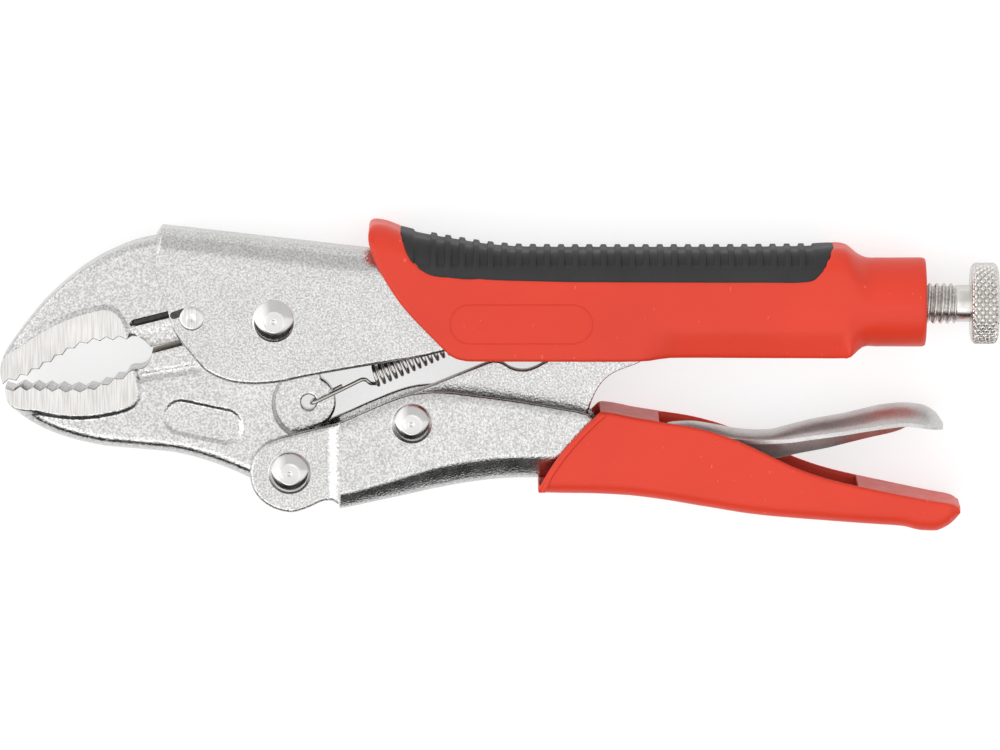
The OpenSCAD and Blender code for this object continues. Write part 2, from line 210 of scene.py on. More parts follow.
def apply_modifiers(ob):
    """Make the modifiers' result the object's own mesh."""
    bpy.context.view_layer.update()
    deps = bpy.context.evaluated_depsgraph_get()
    me = bpy.data.meshes.new_from_object(ob.evaluated_get(deps))
    old = ob.data
    ob.modifiers.clear()
    ob.data = me
    bpy.data.meshes.remove(old)


def join(name, objs):
    """Join the objects into one under the given name."""
    for o in bpy.context.selected_objects:
        o.select_set(False)
    for o in objs:
        o.select_set(True)
    bpy.context.view_layer.objects.active = objs[0]
    bpy.ops.object.join()
    ob = bpy.context.view_layer.objects.active
    ob.name = name
    ob.data.name = name
    ob.select_set(False)
    return ob


def loft(name, rings, mats, sharp=35):
    """Skin through rings of equal point count, capped with one face at each end."""
    rings = np.asarray(rings, float)
    n, m = rings.shape[:2]
    faces = []
    for i in range(n - 1):
        for j in range(m):
            k = (j + 1) % m
            faces.append((i * m + j, i * m + k, (i + 1) * m + k, (i + 1) * m + j))
    faces.append(tuple(range(m)))
    faces.append(tuple(range((n - 1) * m, n * m)))
    return add_mesh(name, rings.reshape(-1, 3), faces, mats, sharp=sharp)


def lathe(name, profile, origin, axis, mats, n=64, sharp=35):
    """Surface of revolution about an axis along X or Z; profile is (radius, height)."""
    a = np.array(axis, float)
    u = np.array([0, 1, 0])
    v = np.cross(a, u)
    verts, faces, rows = [], [], []
    for r, h in np.array(profile, float):
        centre = np.array(origin) + a * h
        if r < 1e-6:
            rows.append([len(verts)])
            verts.append(centre)
            continue
        rows.append(list(range(len(verts), len(verts) + n)))
        for k in range(n):
            t = 2 * math.pi * k / n
            verts.append(centre + r * (math.cos(t) * u + math.sin(t) * v))
    for p, q in zip(rows[:-1], rows[1:]):
        for k in range(n):
            after = (k + 1) % n
            if len(p) == 1:
                faces.append((p[0], q[k], q[after]))
            elif len(q) == 1:
                faces.append((p[k], q[0], p[after]))
            else:
                faces.append((p[k], p[after], q[after], q[k]))
    return add_mesh(name, verts, faces, mats, sharp=sharp)


def mirrored(profile):
    """Profile of (radius, height) followed by its mirror image in the middle plane."""
    return profile + [(r, -h) for r, h in profile[::-1]]


def tube(name, path, r, mats, sides=10):
    """Round wire along a path, with closed ends."""
    p = np.asarray(path, float)
    t = np.gradient(p, axis=0)
    t /= np.linalg.norm(t, axis=1)[:, None]
    n = np.cross(t[0], [0.3, 0.2, 1.0])
    n /= np.linalg.norm(n)
    rings = []
    for i in range(len(p)):
        n = n - t[i] * (n @ t[i])
        n /= np.linalg.norm(n)
        b = np.cross(t[i], n)
        a = np.linspace(0, 2 * math.pi, sides, endpoint=False)
        rings.append(p[i] + r * (np.cos(a)[:, None] * n + np.sin(a)[:, None] * b))
    return loft(name, rings, mats, sharp=60)


def relief(name, loops, top, mats, bottom=None, grid=0.7, rings=(0.15, 0.4, 0.8, 1.3),
           lines=(), mat_of=None, wall_mat=0, sharp=35, shear=None):
    """Plate whose two faces are height fields over the region between the loops.

    loops[0] is the outline and the others are holes. top and bottom take the
    points and their distance to the edge and give z; without bottom, the far face
    mirrors the near one. Rings of points follow each loop, and lines adds more.
    mat_of gives each triangle's material and wall_mat the walls'. shear takes the
    points and gives how far x moves for each unit of z.
    """
    every = [np.asarray(l, float) for l in loops]
    outer = every[0]

    def edge_distance(q):
        return np.min([seg_dist(q, l) for l in every], axis=0)

    def in_region(q):
        ok = inside(q, outer)
        for hole in every[1:]:
            ok &= ~inside(q, hole)
        return ok

    cloud = []
    for l in every:
        d = np.roll(l, -1, axis=0) - np.roll(l, 1, axis=0)
        nrm = np.stack([-d[:, 1], d[:, 0]], 1)
        nrm /= np.maximum(np.linalg.norm(nrm, axis=1), 1e-9)[:, None]
        for r in rings:
            for side in (1, -1):
                q = l + side * r * nrm
                cloud.append(q[in_region(q) & (edge_distance(q) > 0.93 * r)])
    for line in lines:
        q = np.asarray(line, float)
        cloud.append(q[in_region(q) & (edge_distance(q) > 0.08)])
    near = np.concatenate(cloud)
    lo, hi = outer.min(0), outer.max(0)
    gx, gy = np.meshgrid(np.arange(lo[0], hi[0], grid), np.arange(lo[1], hi[1], grid))
    g = np.stack([gx.ravel() + (np.arange(gx.size) // gx.shape[1] % 2) * grid / 2, gy.ravel()], 1)
    g = g[in_region(g) & (edge_distance(g) > max(rings) + 0.4 * grid)]
    keep = np.ones(len(g), bool)
    for k in range(0, len(g), 512):
        dd = ((g[k:k + 512, None] - near[None]) ** 2).sum(2).min(1)
        keep[k:k + 512] = dd > (0.45 * grid) ** 2
    base = np.concatenate(every + [near, g[keep]])
    edges, start = [], 0
    for l in every:
        edges += [(start + i, start + (i + 1) % len(l)) for i in range(len(l))]
        start += len(l)
    v2, _, tris, _, _, _ = delaunay_2d_cdt([Vector(p) for p in base], edges, [], 0, 1e-5)
    v2 = np.array([tuple(v) for v in v2])
    tris = np.array([t for t in tris if len(t) == 3])
    cen = v2[tris].mean(1)
    ok = in_region(cen)
    tris, cen = tris[ok], cen[ok]
    used = np.unique(tris)
    index = -np.ones(len(v2), int)
    index[used] = np.arange(len(used))
    v2, tris = v2[used], index[tris]
    n = len(v2)
    d = edge_distance(v2)
    top_z = top(v2, d)
    layers = []
    for z in (top_z, -top_z if bottom is None else bottom(v2, d)):
        layer = np.column_stack([v2, z])
        if shear is not None:
            layer[:, 0] += shear(v2) * z
        layers.append(layer)
    faces = [tuple(t) for t in tris] + [tuple(t[::-1] + n) for t in tris]
    ids = [0] * (2 * len(tris)) if mat_of is None else 2 * list(mat_of(cen))
    count = {}
    for t in tris:
        for a, b in ((t[0], t[1]), (t[1], t[2]), (t[2], t[0])):
            key = (min(a, b), max(a, b))
            count[key] = count.get(key, 0) + 1
    for (a, b), c in count.items():
        if c == 1:
            faces.append((a, b, b + n, a + n))
            ids.append(wall_mat((v2[a] + v2[b]) / 2) if callable(wall_mat) else wall_mat)
    return add_mesh(name, np.concatenate(layers), faces, mats, ids, sharp=sharp)


def fillet(d, r):
    """Height lost at distance d from an edge rounded to radius r."""
    e = np.clip(r - d, 0, r)
    return r - np.sqrt(np.maximum(r * r - e * e, 0))


# ---------------------------------------------------------------- materials

def grey(v):
    """Colour with the same red, green and blue."""
    return (v, v, v, 1)


def material(name, base, metallic, rough, specular=None, drift=0.06, drift_scale=90,
             rough_drift=0.05, speck=None, speck_stretch=(1, 1, 1), scuff=None, bumps=()):
    """Principled material with grain bump, colour drift and roughness drift.

    speck is (depth, scale) of fine darkening, scuff the scale of pale marks, and
    each bump is (strength, height in mm, scale) with a stretch where it has one.
    """
    m = bpy.data.materials.new(name)
    m.use_nodes = True
    nt = m.node_tree
    bsdf = nt.nodes["Principled BSDF"]
    bsdf.inputs["Metallic"].default_value = metallic
    bsdf.inputs["Roughness"].default_value = rough
    if specular is not None:
        bsdf.inputs["Specular IOR Level"].default_value = specular
    tc = nt.nodes.new("ShaderNodeTexCoord")

    def noise(scale, detail, stretch=(1, 1, 1)):
        mapping = nt.nodes.new("ShaderNodeMapping")
        mapping.inputs["Scale"].default_value = stretch
        nt.links.new(tc.outputs["Object"], mapping.inputs["Vector"])
        n = nt.nodes.new("ShaderNodeTexNoise")
        n.inputs["Detail"].default_value = detail
        n.inputs["Scale"].default_value = scale
        nt.links.new(mapping.outputs["Vector"], n.inputs["Vector"])
        return n.outputs["Fac"]

    def ramp(fac, a, b, c0, c1):
        r = nt.nodes.new("ShaderNodeValToRGB")
        for element, place, colour in zip(r.color_ramp.elements, (a, b), (c0, c1)):
            element.position = place
            element.color = colour
        nt.links.new(fac, r.inputs["Fac"])
        return r.outputs["Color"]

    def mix_onto(colour):
        mix = nt.nodes.new("ShaderNodeMix")
        mix.data_type = "RGBA"
        nt.links.new(colour, mix.inputs["A"])
        return mix

    lo = tuple(max(0, c * (1 - drift)) for c in base) + (1,)
    hi = tuple(min(1, c * (1 + drift)) for c in base) + (1,)
    col = ramp(noise(drift_scale, 3), 0.3, 0.7, lo, hi)
    if speck is not None:
        depth, scale = speck
        mix = mix_onto(col)
        mix.blend_type = "MULTIPLY"
        mix.inputs["Factor"].default_value = 1.0
        dark = ramp(noise(scale, 1.5, speck_stretch), 0.36, 0.62, grey(1 - depth), grey(1.0))
        nt.links.new(dark, mix.inputs["B"])
        col = mix.outputs["Result"]
    if scuff is not None:
        mix = mix_onto(col)
        mark = ramp(noise(scuff, 1.0, (1.0, 0.45, 1.0)), 0.75, 0.785, grey(0), grey(0.3))
        nt.links.new(mark, mix.inputs["Factor"])
        mix.inputs["B"].default_value = tuple(min(1, c * 1.1 + 0.16) for c in base) + (1,)
        col = mix.outputs["Result"]
    nt.links.new(col, bsdf.inputs["Base Color"])
    nt.links.new(ramp(noise(300, 2), 0.3, 0.7, grey(rough - rough_drift),
                      grey(rough + rough_drift)), bsdf.inputs["Roughness"])
    normal = None
    for strength, height, scale, *stretch in bumps:
        b = nt.nodes.new("ShaderNodeBump")
        b.inputs["Strength"].default_value = strength
        b.inputs["Distance"].default_value = height * MM
        nt.links.new(noise(scale, 1.0, *stretch), b.inputs["Height"])
        if normal is not None:
            nt.links.new(normal, b.inputs["Normal"])
        normal = b.outputs["Normal"]
    if normal is not None:
        nt.links.new(normal, bsdf.inputs["Normal"])
    return m


nickel = material("pebbled_nickel", (0.62, 0.615, 0.608), 1.0, 0.22,
                  drift=0.03, speck=(0.36, 2100), rough_drift=0.04,
                  bumps=[(0.9, 0.085, 1900)])
forged = material("forged_nickel", (0.63, 0.624, 0.615), 1.0, 0.22,
                  drift=0.04, speck=(0.36, 1900), rough_drift=0.04,
                  bumps=[(0.9, 0.085, 1700), (0.6, 0.12, 600)])
milled = material("milled_steel", (0.66, 0.645, 0.625), 1.0, 0.26,
                  drift=0.04, speck=(0.2, 520), speck_stretch=(5, 0.25, 1),
                  bumps=[(0.5, 0.05, 520, (5, 0.22, 1))])
# painted shade: near-black steel laid on the fixed jaw's slot and on the pin notch, where shade falls
painted_shade = material("dark_painted_shade", (0.05, 0.048, 0.045), 0.6, 0.55, drift=0.4, drift_scale=900,
                 bumps=[(0.8, 0.12, 1100)])
# painted shade: dark brown steel for the movable jaw's throat walls, which lie in shade
throat_shade = material("throat_shade_steel", (0.30, 0.24, 0.19), 0.8, 0.5, drift=0.25,
                   drift_scale=600, bumps=[(0.4, 0.06, 1000)])
polished = material("polished_rivet", (0.60, 0.59, 0.58), 1.0, 0.17, drift=0.05,
                    drift_scale=350, rough_drift=0.05,
                    bumps=[(0.22, 0.04, 900)])
edge_steel = material("cut_edge_steel", (0.34, 0.30, 0.28), 1.0, 0.38, drift=0.10,
                      bumps=[(0.3, 0.05, 700, (1, 1, 0.25))])
zinc = material("turned_zinc", (0.62, 0.605, 0.585), 1.0, 0.26, drift=0.08,
                drift_scale=400, speck=(0.25, 1500),
                bumps=[(0.25, 0.04, 900)])
knurled = material("knurled_zinc", (0.62, 0.60, 0.575), 1.0, 0.24, drift=0.08,
                   drift_scale=400, bumps=[(0.15, 0.03, 900)])
wire_steel = material("spring_wire", (0.44, 0.42, 0.40), 1.0, 0.2, drift=0.08,
                      bumps=[(0.15, 0.03, 1500)])
lever_steel = material("lever_nickel", (0.60, 0.59, 0.58), 1.0, 0.42, drift=0.04,
                       speck=(0.12, 1800), rough_drift=0.05,
                       bumps=[(0.5, 0.05, 1700)])
red = material("red_plastic", (0.62, 0.039, 0.016), 0.0, 0.40, drift=0.06,
               specular=0.3, drift_scale=22, rough_drift=0.04, scuff=900,
               bumps=[(0.16, 0.05, 900), (0.12, 0.12, 120)])
rubber = material("black_rubber", (0.023, 0.023, 0.024), 0.0, 0.55, drift=0.10,
                  specular=0.27, rough_drift=0.06,
                  bumps=[(0.3, 0.05, 1300)])

# ---------------------------------------------------------------- jaws

# half thickness of the forged jaws, and of their milled pads
BODY_Z, PAD_Z = 5.2, 6.0
TOOTH_DEPTH = 0.95
TOOTH_SKEW = -0.085    # how far the teeth move along x for each mm of thickness
SLOT_DEPTH, GROOVE_DEPTH, RECESS_DEPTH = 1.1, 0.45, 0.6
BOSS_R = 9.6    # movable jaw's boss around the main pivot
TAB_R, TAB_Z, EYE_R = 6.8, 2.0, 1.9
PIN = np.array([-20.5, 0.7])
TAB = np.array([8.5, -21.5])
PIVOT_B = np.array([3.8, -38.5])
PIVOT_C = np.array([34.4, -25.8])
PIVOT_E = np.array([103.5, -33.0])


def toothed(crests, side):
    """Tooth outline through the crests with valleys on the given side."""
    out = []
    c = np.array(crests, float)
    for p, q in zip(c[:-1], c[1:]):
        v = q - p
        n = np.array([-v[1], v[0]]) / np.linalg.norm(v) * side
        valley = (p + q) / 2 + n * TOOTH_DEPTH
        for a, b in ((p, valley), (valley, q)):
            out += [a + (b - a) * t for t in np.linspace(0, 1, 7)[:-1]]
    out.append(c[-1])
    return np.array(out)


fixed_crests = [(-67.9, -16.4), (-64.4, -15.4), (-61.2, -14.1), (-58.3, -12.5), (-55.3, -10.7),
    (-52.4, -8.9), (-49.4, -7.2), (-46.2, -6.0), (-43.0, -5.4), (-39.8, -5.2), (-36.8, -5.0)]
fixed_outer = [(-29.5, 20.2), (-34.8, 19), (-39.8, 17), (-44.2, 14.8), (-48.7, 11.8), (-53.2, 8.1),
    (-57.6, 3.9), (-61.6, -0.8), (-64.7, -4.9), (-67, -8.3), (-68.3, -11), (-68.5, -13.5),
    (-67.9, -16.4)]
upper_slot = [(-34.9, -0.9), (-24, 1.8)]


# height lost from a drafted and rounded forging edge, by distance from the edge
DRAFT = curve([(0, 4.4), (0.2, 3.5), (0.5, 2.6), (0.9, 1.75), (1.2, 1.22), (1.5, 0.86),
               (2.0, 0.45), (2.6, 0.12), (3.3, 0.0)])


def jaw_top(pad, pad_ramp, edge_r, crisp, draft=None):
    """Height of a jaw's side face: rounded forging with a raised milled pad.

    crisp and draft take the points and say how far the edge is sharp or drafted.
    """
    poly = np.asarray(pad, float)

    def f(p, d):
        dist = seg_dist(p, poly)
        sd = np.where(inside(p, poly), dist, -dist)
        on_pad = smoothstep(-pad_ramp, 0.0, sd)
        drop = fillet(d, edge_r) * (1 - crisp(p)) + fillet(d, 0.25) * crisp(p)
        if draft is not None:
            k = draft(p)
            drop = drop * (1 - k) + DRAFT(d) * k
        body = BODY_Z - drop
        flat = PAD_Z - fillet(d, 0.18)
        return body + (flat - body) * on_pad
    return f


def tooth_shear(crests):
    """Teeth are cut slightly askew through the jaw's thickness."""
    line = np.array(crests, float)

    def f(p):
        near = smoothstep(5.5, 1.2, seg_dist(p, line, closed=False))
        along = smoothstep(-66.5, -61, p[:, 0])
        return TOOTH_SKEW * near * along * smoothstep(-35.5, -39.5, p[:, 0])
    return f


def offset_lines(line, offsets):
    """Copies of a line, moved sideways by each offset."""
    l = np.asarray(line, float)
    d = np.gradient(l, axis=0)
    n = np.stack([-d[:, 1], d[:, 0]], 1)
    n /= np.maximum(np.linalg.norm(n, axis=1), 1e-9)[:, None]
    return [l + o * n for o in offsets]


def build_fixed_jaw():
    teeth = toothed(fixed_crests, 1)
    outer = spline(fixed_outer, 0.45)
    throat = spline([(-36.8, -5.0), (-35.6, -4.5), (-34.2, -4.5), (-32.8, -5.1),
                     (-31.6, -6.2), (-30.9, -7.0)], 0.3)
    cutter = along_line([(-30.9, -7.0), (-24.5, -5.6), (-11, -3.2)], 0.4)
    boss = arc((0, 0), 10.1, 196, 112, 24)
    top = along_line([(-3.9, 9.6), (-6.2, 17.3), (-20, 18.9), (-29.5, 20.2)], 0.8)
    outline = np.concatenate([outer[:-1], teeth[:-1], throat[:-1], cutter[:-1], boss, top[1:-1]])
    pad_edge = spline([(-68.9, -11.2), (-66.6, -8.7), (-63.5, -6.9), (-59.8, -4.3), (-55.4, -1.8),
        (-50.9, 0.2), (-46.4, 1.6), (-42.4, 2.4), (-39.8, 1.6), (-38.3, -0.3), (-37.2, -3.0),
        (-36.9, -5.2)], 0.35)
    pad = np.concatenate([pad_edge, [(-36.9, -9), (-50, -20), (-70, -20), (-70, -12)]])
    slot = np.array(upper_slot, float)

    def crisp(p):
        return smoothstep(2.0, 0.0, p[:, 1]) * smoothstep(-36, -33, p[:, 0])

    face = jaw_top(pad, pad_ramp=1.4, edge_r=1.5, crisp=crisp)

    def top_z(p, d):
        z = face(p, d)
        z = z - SLOT_DEPTH * smoothstep(0.85, 0.6, seg_dist(p, slot, closed=False))
        # the rough hollow under the slot
        line = -1.9 + (p[:, 0] + 30.9) * 0.24
        under = smoothstep(-0.5, 2.2, line - p[:, 1]) * smoothstep(-36.4, -35.2, p[:, 0])
        lumps = 0.10 * np.sin(p[:, 0] * 2.9 + p[:, 1] * 1.3) \
            + 0.08 * np.sin(p[:, 0] * 1.7 - p[:, 1] * 3.1 + 1.0)
        return z + (lumps - 0.35) * under * smoothstep(0.0, 1.0, d)

    def mat_of(c):
        # 0 forged, 1 milled pad, 2 slot, painted dark for the shade in it
        m = np.zeros(len(c), int)
        m[inside(c, pad) & (seg_dist(c, pad) > 0.02)] = 1
        m[seg_dist(c, slot, closed=False) < 0.72] = 2
        return m

    lines = offset_lines(pad_edge, (-0.25, 0.0, 0.25, 0.5, 0.75, 1.0, 1.3, 1.6))
    lines += offset_lines(along_line(upper_slot, 0.25),
                          (-0.9, -0.72, -0.5, 0.0, 0.5, 0.72, 0.9))
    lines += offset_lines(along_line([(-34, -2.7), (-24, -0.3)], 0.4), (-0.3, 0.0, 0.3))

    ob = relief("fixed_jaw_detail", [outline], top_z, [forged, milled, painted_shade], grid=0.8,
                lines=lines, mat_of=mat_of, shear=tooth_shear(fixed_crests))
    mount(ob, "upper_handle", "forged_steel", "fixed_jaw")


low_crests = [(-67.3, -17.2), (-63.2, -16.8), (-59.8, -16.9), (-56.6, -17.0), (-53.4, -17.2),
    (-49.9, -17.4), (-46.4, -17.2), (-43.0, -16.2), (-39.8, -14.9), (-36.4, -13.2)]
lower_slot = [(-33.2, -14.5), (-19.0, -12.2)]
RECESS = [(-23.4, -24.7), (-12.4, -27.1)]


def build_movable_jaw():
    teeth = toothed(low_crests, -1)[::-1]
    bottom = spline([(-67.3, -17.2), (-67.1, -19.7), (-66.3, -21.7), (-64.9, -23.6), (-62.7, -25.4),
        (-59.8, -27.2), (-55.4, -29.3), (-50.9, -30.8), (-46.4, -31.9), (-42, -32.7), (-33, -33.5),
        (-24.1, -34.5), (-15.2, -37), (-6.5, -40.7), (-1, -44.6), (3.8, -46.6), (8.4, -45.2),
        (11.2, -41.6), (11.6, -37), (10.6, -32), (9.5, -29.0)], 0.6)
    tab = arc(TAB, TAB_R, -82, 62, 40)
    rear = along_line([tab[-1], (10.4, -10), (9.4, -2.2)], 0.7)
    boss = arc((0, 0), BOSS_R, -12, 190, 60)
    arm = along_line([boss[-1], (-16, -4.9), (-23.3, -6.6), (-30.6, -8.5)], 0.4)
    throat = spline([(-30.6, -8.5), (-31.1, -10.4), (-32.2, -11.9), (-33.6, -12.5),
                     (-35, -12.6), (-36.4, -13.2)], 0.3)
    outline = np.concatenate([bottom[:-1], tab, rear[1:-1], boss, arm[1:-1],
                              throat[:-1], teeth[:-1]])
    pad_edge = spline([(-66.9, -20.6), (-65.0, -22.1), (-62.6, -22.6), (-59.8, -22.6), (-55.4, -23.5),
        (-50.9, -24), (-46.4, -23.9), (-42, -23.3), (-37.8, -22.2), (-35.4, -20.9), (-34.3, -18.4),
        (-34.8, -15.2), (-35.6, -12.7)], 0.35)
    pad = np.concatenate([pad_edge, [(-40, -8), (-60, -14), (-70, -15), (-70, -20)]])
    slot = np.array(lower_slot, float)
    recess = np.array(RECESS, float)
    drafted_below = curve([(-67, -19.5), (-40, -26), (-10, -29), (4, -35), (12, -38)])

    def crisp(p):
        x, y = p[:, 0], p[:, 1]
        return smoothstep(-17, -14, y) * smoothstep(-35, -33, x) * smoothstep(-6, -9, x)

    def draft(p):
        return smoothstep(1.0, -1.0, p[:, 1] - drafted_below(p[:, 0]))

    face = jaw_top(pad, pad_ramp=1.7, edge_r=1.2, crisp=crisp, draft=draft)

    def top_z(p, d):
        z = face(p, d)
        s = seg_dist(p, slot, closed=False)
        z = z - GROOVE_DEPTH * (0.5 + 0.5 * np.cos(np.pi * np.clip(s / 1.7, 0, 1))) \
            * smoothstep(-35.6, -34.0, p[:, 0])
        r = seg_dist(p, recess, closed=False)
        z = z - RECESS_DEPTH * smoothstep(4.8, 3.5, r)
        near_tab = np.hypot(p[:, 0] - TAB[0], p[:, 1] - TAB[1])
        tab_z = TAB_Z - fillet(d, 0.7)
        z = z + (tab_z - z) * smoothstep(9.2, 8.3, near_tab)
        r0 = np.hypot(p[:, 0], p[:, 1])
        boss_z = PAD_Z - 0.3 * smoothstep(9.2, 9.8, r0)
        return np.where(r0 < 9.8, np.maximum(z, boss_z), z)

    def mat_of(c):
        # 0 forged, 1 milled pad
        m = np.zeros(len(c), int)
        m[inside(c, pad) & (seg_dist(c, pad) > 0.02)] = 1
        return m

    def wall(c):
        # 2 darker brown steel on the throat walls: painted shade
        return 2 if -31.2 < c[0] < -9 and c[1] > -10 else 0

    lines = offset_lines(pad_edge, (0.25, 0.0, -0.25, -0.5, -0.75, -1.0, -1.3, -1.6, -1.9))
    lines += offset_lines(along_line(lower_slot, 0.3),
                          (-1.7, -1.3, -0.9, -0.45, 0.0, 0.45, 0.9, 1.3, 1.7))
    for r in (3.4, 3.6, 3.85, 4.15, 4.45, 4.7, 4.9):
        lines.append(stadium(RECESS, r, 0.35))
    for r in (8.1, 8.3, 8.5, 8.75, 9.0, 9.2, 9.4):
        lines.append(circle_points(TAB, r, 110))
    for r in (9.5, 9.8, 10.0):
        lines.append(circle_points((0, 0), r, 90))

    hole = circle_points(TAB, EYE_R, 28)[::-1]
    ob = relief("movable_jaw_detail", [outline, hole], top_z,
                [forged, milled, throat_shade], grid=0.85, lines=lines,
                rings=(0.12, 0.3, 0.6, 1.1, 1.6, 2.2, 2.9),
                mat_of=mat_of, wall_mat=wall, shear=tooth_shear(low_crests))
    mount(ob, "lower_jaw", "forged_steel", "movable_jaw")


def stadium(ends, r, step):
    """Closed outline at distance r around the segment between the ends."""
    p, q = (np.array(e, float) for e in ends)
    a = math.atan2(q[1] - p[1], q[0] - p[0])
    n = max(8, int(math.pi * r / step))
    t1 = a + np.linspace(-math.pi / 2, math.pi / 2, n)
    t2 = a + np.linspace(math.pi / 2, 1.5 * math.pi, n)
    ring = np.concatenate([q + r * np.stack([np.cos(t1), np.sin(t1)], 1),
                           p + r * np.stack([np.cos(t2), np.sin(t2)], 1)])
    return along_line(np.concatenate([ring, ring[:1]]), step)[:-1]


# ---------------------------------------------------------------- sheet metal

def u_ring(x, top, bot, w, r, t, n=9, lip=0.35, wn=6):
    """Closed section, at one station, of a sheet of thickness t folded over the top."""
    bend = np.linspace(0, math.pi / 2, n)

    def fold(side, w, top, r):
        """Up one wall, round the fold and down the other wall."""
        low, end = bot + lip, top - r
        wall = np.linspace(low + 0.02 * (end - bot - lip), end, wn)
        half = [(side * w, y) for y in [low, *wall[:-1]]]
        half += [(side * (w - r + r * math.cos(k)), end + r * math.sin(k)) for k in bend]
        return half + [(-z, y) for z, y in half[::-1]]

    wi = w - t
    e, g, h = lip * 0.29, lip * 0.45, lip * 0.95
    lip_a = [(-w + g, bot + e), (-w + h, bot), (-wi - lip * 0.5, bot), (-wi - e, bot + e)]
    lip_b = [(wi + e, bot + e), (wi + lip * 0.5, bot), (w - h, bot), (w - g, bot + e)]
    ring = fold(1, w, top, r) + lip_a + fold(-1, wi, top - t, max(r - t, 0.4)) + lip_b
    return [(x, y, z) for z, y in ring]


# half width, bend radius and thickness of the handle's sheet
SHELL_W, SHELL_R, SHELL_T = 8.6, 5.7, 2.5

shell_low = curve([(-29.4, 11.5), (-29.0, 10.0), (-26.6, 2.2), (-25.2, -2.4)] + bend([(-25.2, -2.4),
    (-23.2, -5.5), (-21.2, -7.9), (-17.9, -11.9), (-15.8, -13.5), (-13.6, -14.6), (-10.1, -15.7),
    (-5.6, -16.1), (-2.5, -16), (2, -15.5), (6.4, -14.5), (10.9, -13.6), (19.8, -12), (28.8, -10.5),
    (36.2, -9.3), (42.4, -7.8)], 0.5)[1:] + [(60, -7.5), (150, -7.5)])


def shell_top(x):
    """Top of the sheet handle: it slopes down to the level tail, with a turned-down nose."""
    front = 24.3 - (np.asarray(x, float) + 40) * math.tan(math.radians(6.5))
    return np.maximum(front, 13.0) - 2.0 * smoothstep(-27.6, -29.4, x) ** 1.6


def build_shell():
    xs = np.concatenate([np.linspace(-29.4, -24, 28), np.linspace(-23.7, -12, 34),
                         np.linspace(-11, 50, 50), np.linspace(52, 141, 30)])
    rings = []
    for x in xs:
        rings.append(u_ring(x, float(shell_top(x)), float(shell_low(x)),
                            SHELL_W, SHELL_R, SHELL_T, lip=0.8))
    ob = loft("handle_shell_detail", rings, [nickel], sharp=40)
    # the notch's shade is painted on: a thin dark plate just proud of the near wall
    notch = stadium([(-25.0, 1.45), (-22.6, 2.3)], 0.95, 0.2)
    notch_z, notch_back = 8.63, 8.2
    inlay = relief("pin_notch", [notch], lambda p, d: notch_z - fillet(d, 0.05), [painted_shade],
                   bottom=lambda p, d: np.full(len(p), notch_back), grid=0.5, rings=(0.1, 0.3))
    mount(inlay, "upper_handle", "plated_sheet")
    bore, r, length, chamfer = 7.2, 9.6, 20, 0.6
    socket = lathe("shell_socket", [(bore, 0), (r - chamfer, 0), (r, chamfer), (r, length),
                                    (bore, length), (bore, 0)],
                   (140, SCREW_Y, 0), (1, 0, 0), [nickel])
    mount(socket, "upper_handle", "plated_sheet")
    mount(ob, "upper_handle", "plated_sheet", "handle_shell")


chan_top = smooth_curve([(16.2, -25.9), (19, -24.7), (22.7, -23.0), (26, -21.6), (29.4, -20.2),
    (33.8, -18.8), (36.5, -18.3), (40.5, -18.05), (45, -18.3), (48.8, -18.8), (58.8, -20.1),
    (71.2, -22.2), (78.6, -23.8), (81, -26.2), (104, -30.5), (116, -34), (128, -39.5), (142, -44.5),
    (162, -47.7)])
chan_bot = smooth_curve([(16.2, -48.0), (19, -47.5), (24.6, -46.3), (32.6, -44.7), (40.6, -43.0),
    (51.2, -41.2), (57, -40.6), (61.2, -40.4), (65.8, -40.4), (80, -40.9), (120, -44.9), (162, -49.1)])
# half width and thickness of the channel's sheet
CHAN_W, CHAN_T = 8.5, 2.0


def shoulder(height):
    """Corner of the channel's section, as (inset, drop, tilt) from wall to floor."""
    q = np.linspace(0, 1, 18)
    tilt = np.radians(np.interp(q, [0, 0.16, 0.72, 1], [0, 29, 41, 90]))
    mid = (tilt[1:] + tilt[:-1]) / 2
    drop = np.concatenate([[0], np.cumsum(np.cos(mid))])
    inset = np.concatenate([[0], np.cumsum(np.sin(mid))])
    k = height / drop[-1]
    return inset * k, drop * k, tilt


def channel_ring(x, top, bot, w, height, t, lip):
    """Closed section, at one station, of the lower handle's open channel."""
    inset, drop, tilt = shoulder(height)
    oz, oy = w - inset, bot + height - drop
    iz, iy = oz - t * np.cos(tilt), oy + t * np.sin(tilt)
    iz = np.maximum(iz, 0.4)
    walls = np.linspace(top - lip, bot + height, 7)[:-1]
    outer = [(w, y) for y in walls] + list(zip(oz, oy))
    inner = [(w - t, y) for y in walls] + list(zip(iz, iy))
    crest = [(w - t + 0.3 * lip, top - 0.3 * lip), (w - t + lip * 0.6, top),
             (w - lip * 0.95, top), (w - 0.45 * lip, top - 0.3 * lip)]
    ring = crest + outer + [(-z, y) for z, y in outer[::-1]]
    ring += [(-z, y) for z, y in crest[::-1]]
    ring += [(-z, y) for z, y in inner] + inner[::-1]
    return [(x, y, z) for z, y in ring]


def build_channel():
    xs = np.concatenate([np.linspace(16.25, 60, 90), np.linspace(61, 161.5, 60)])
    rings = []
    for x in xs:
        top, bot = float(chan_top(x)), float(chan_bot(x))
        height = min(4.9 + 2.3 * float(smoothstep(17, 45, x)), max(0.8, (top - bot) * 0.7))
        rings.append(channel_ring(x, top, bot, CHAN_W, height, CHAN_T, 0.6))
    ob = loft("lever_channel_detail", rings, [nickel], sharp=40)
    mount(ob, "lower_handle", "plated_sheet", "lever_channel")


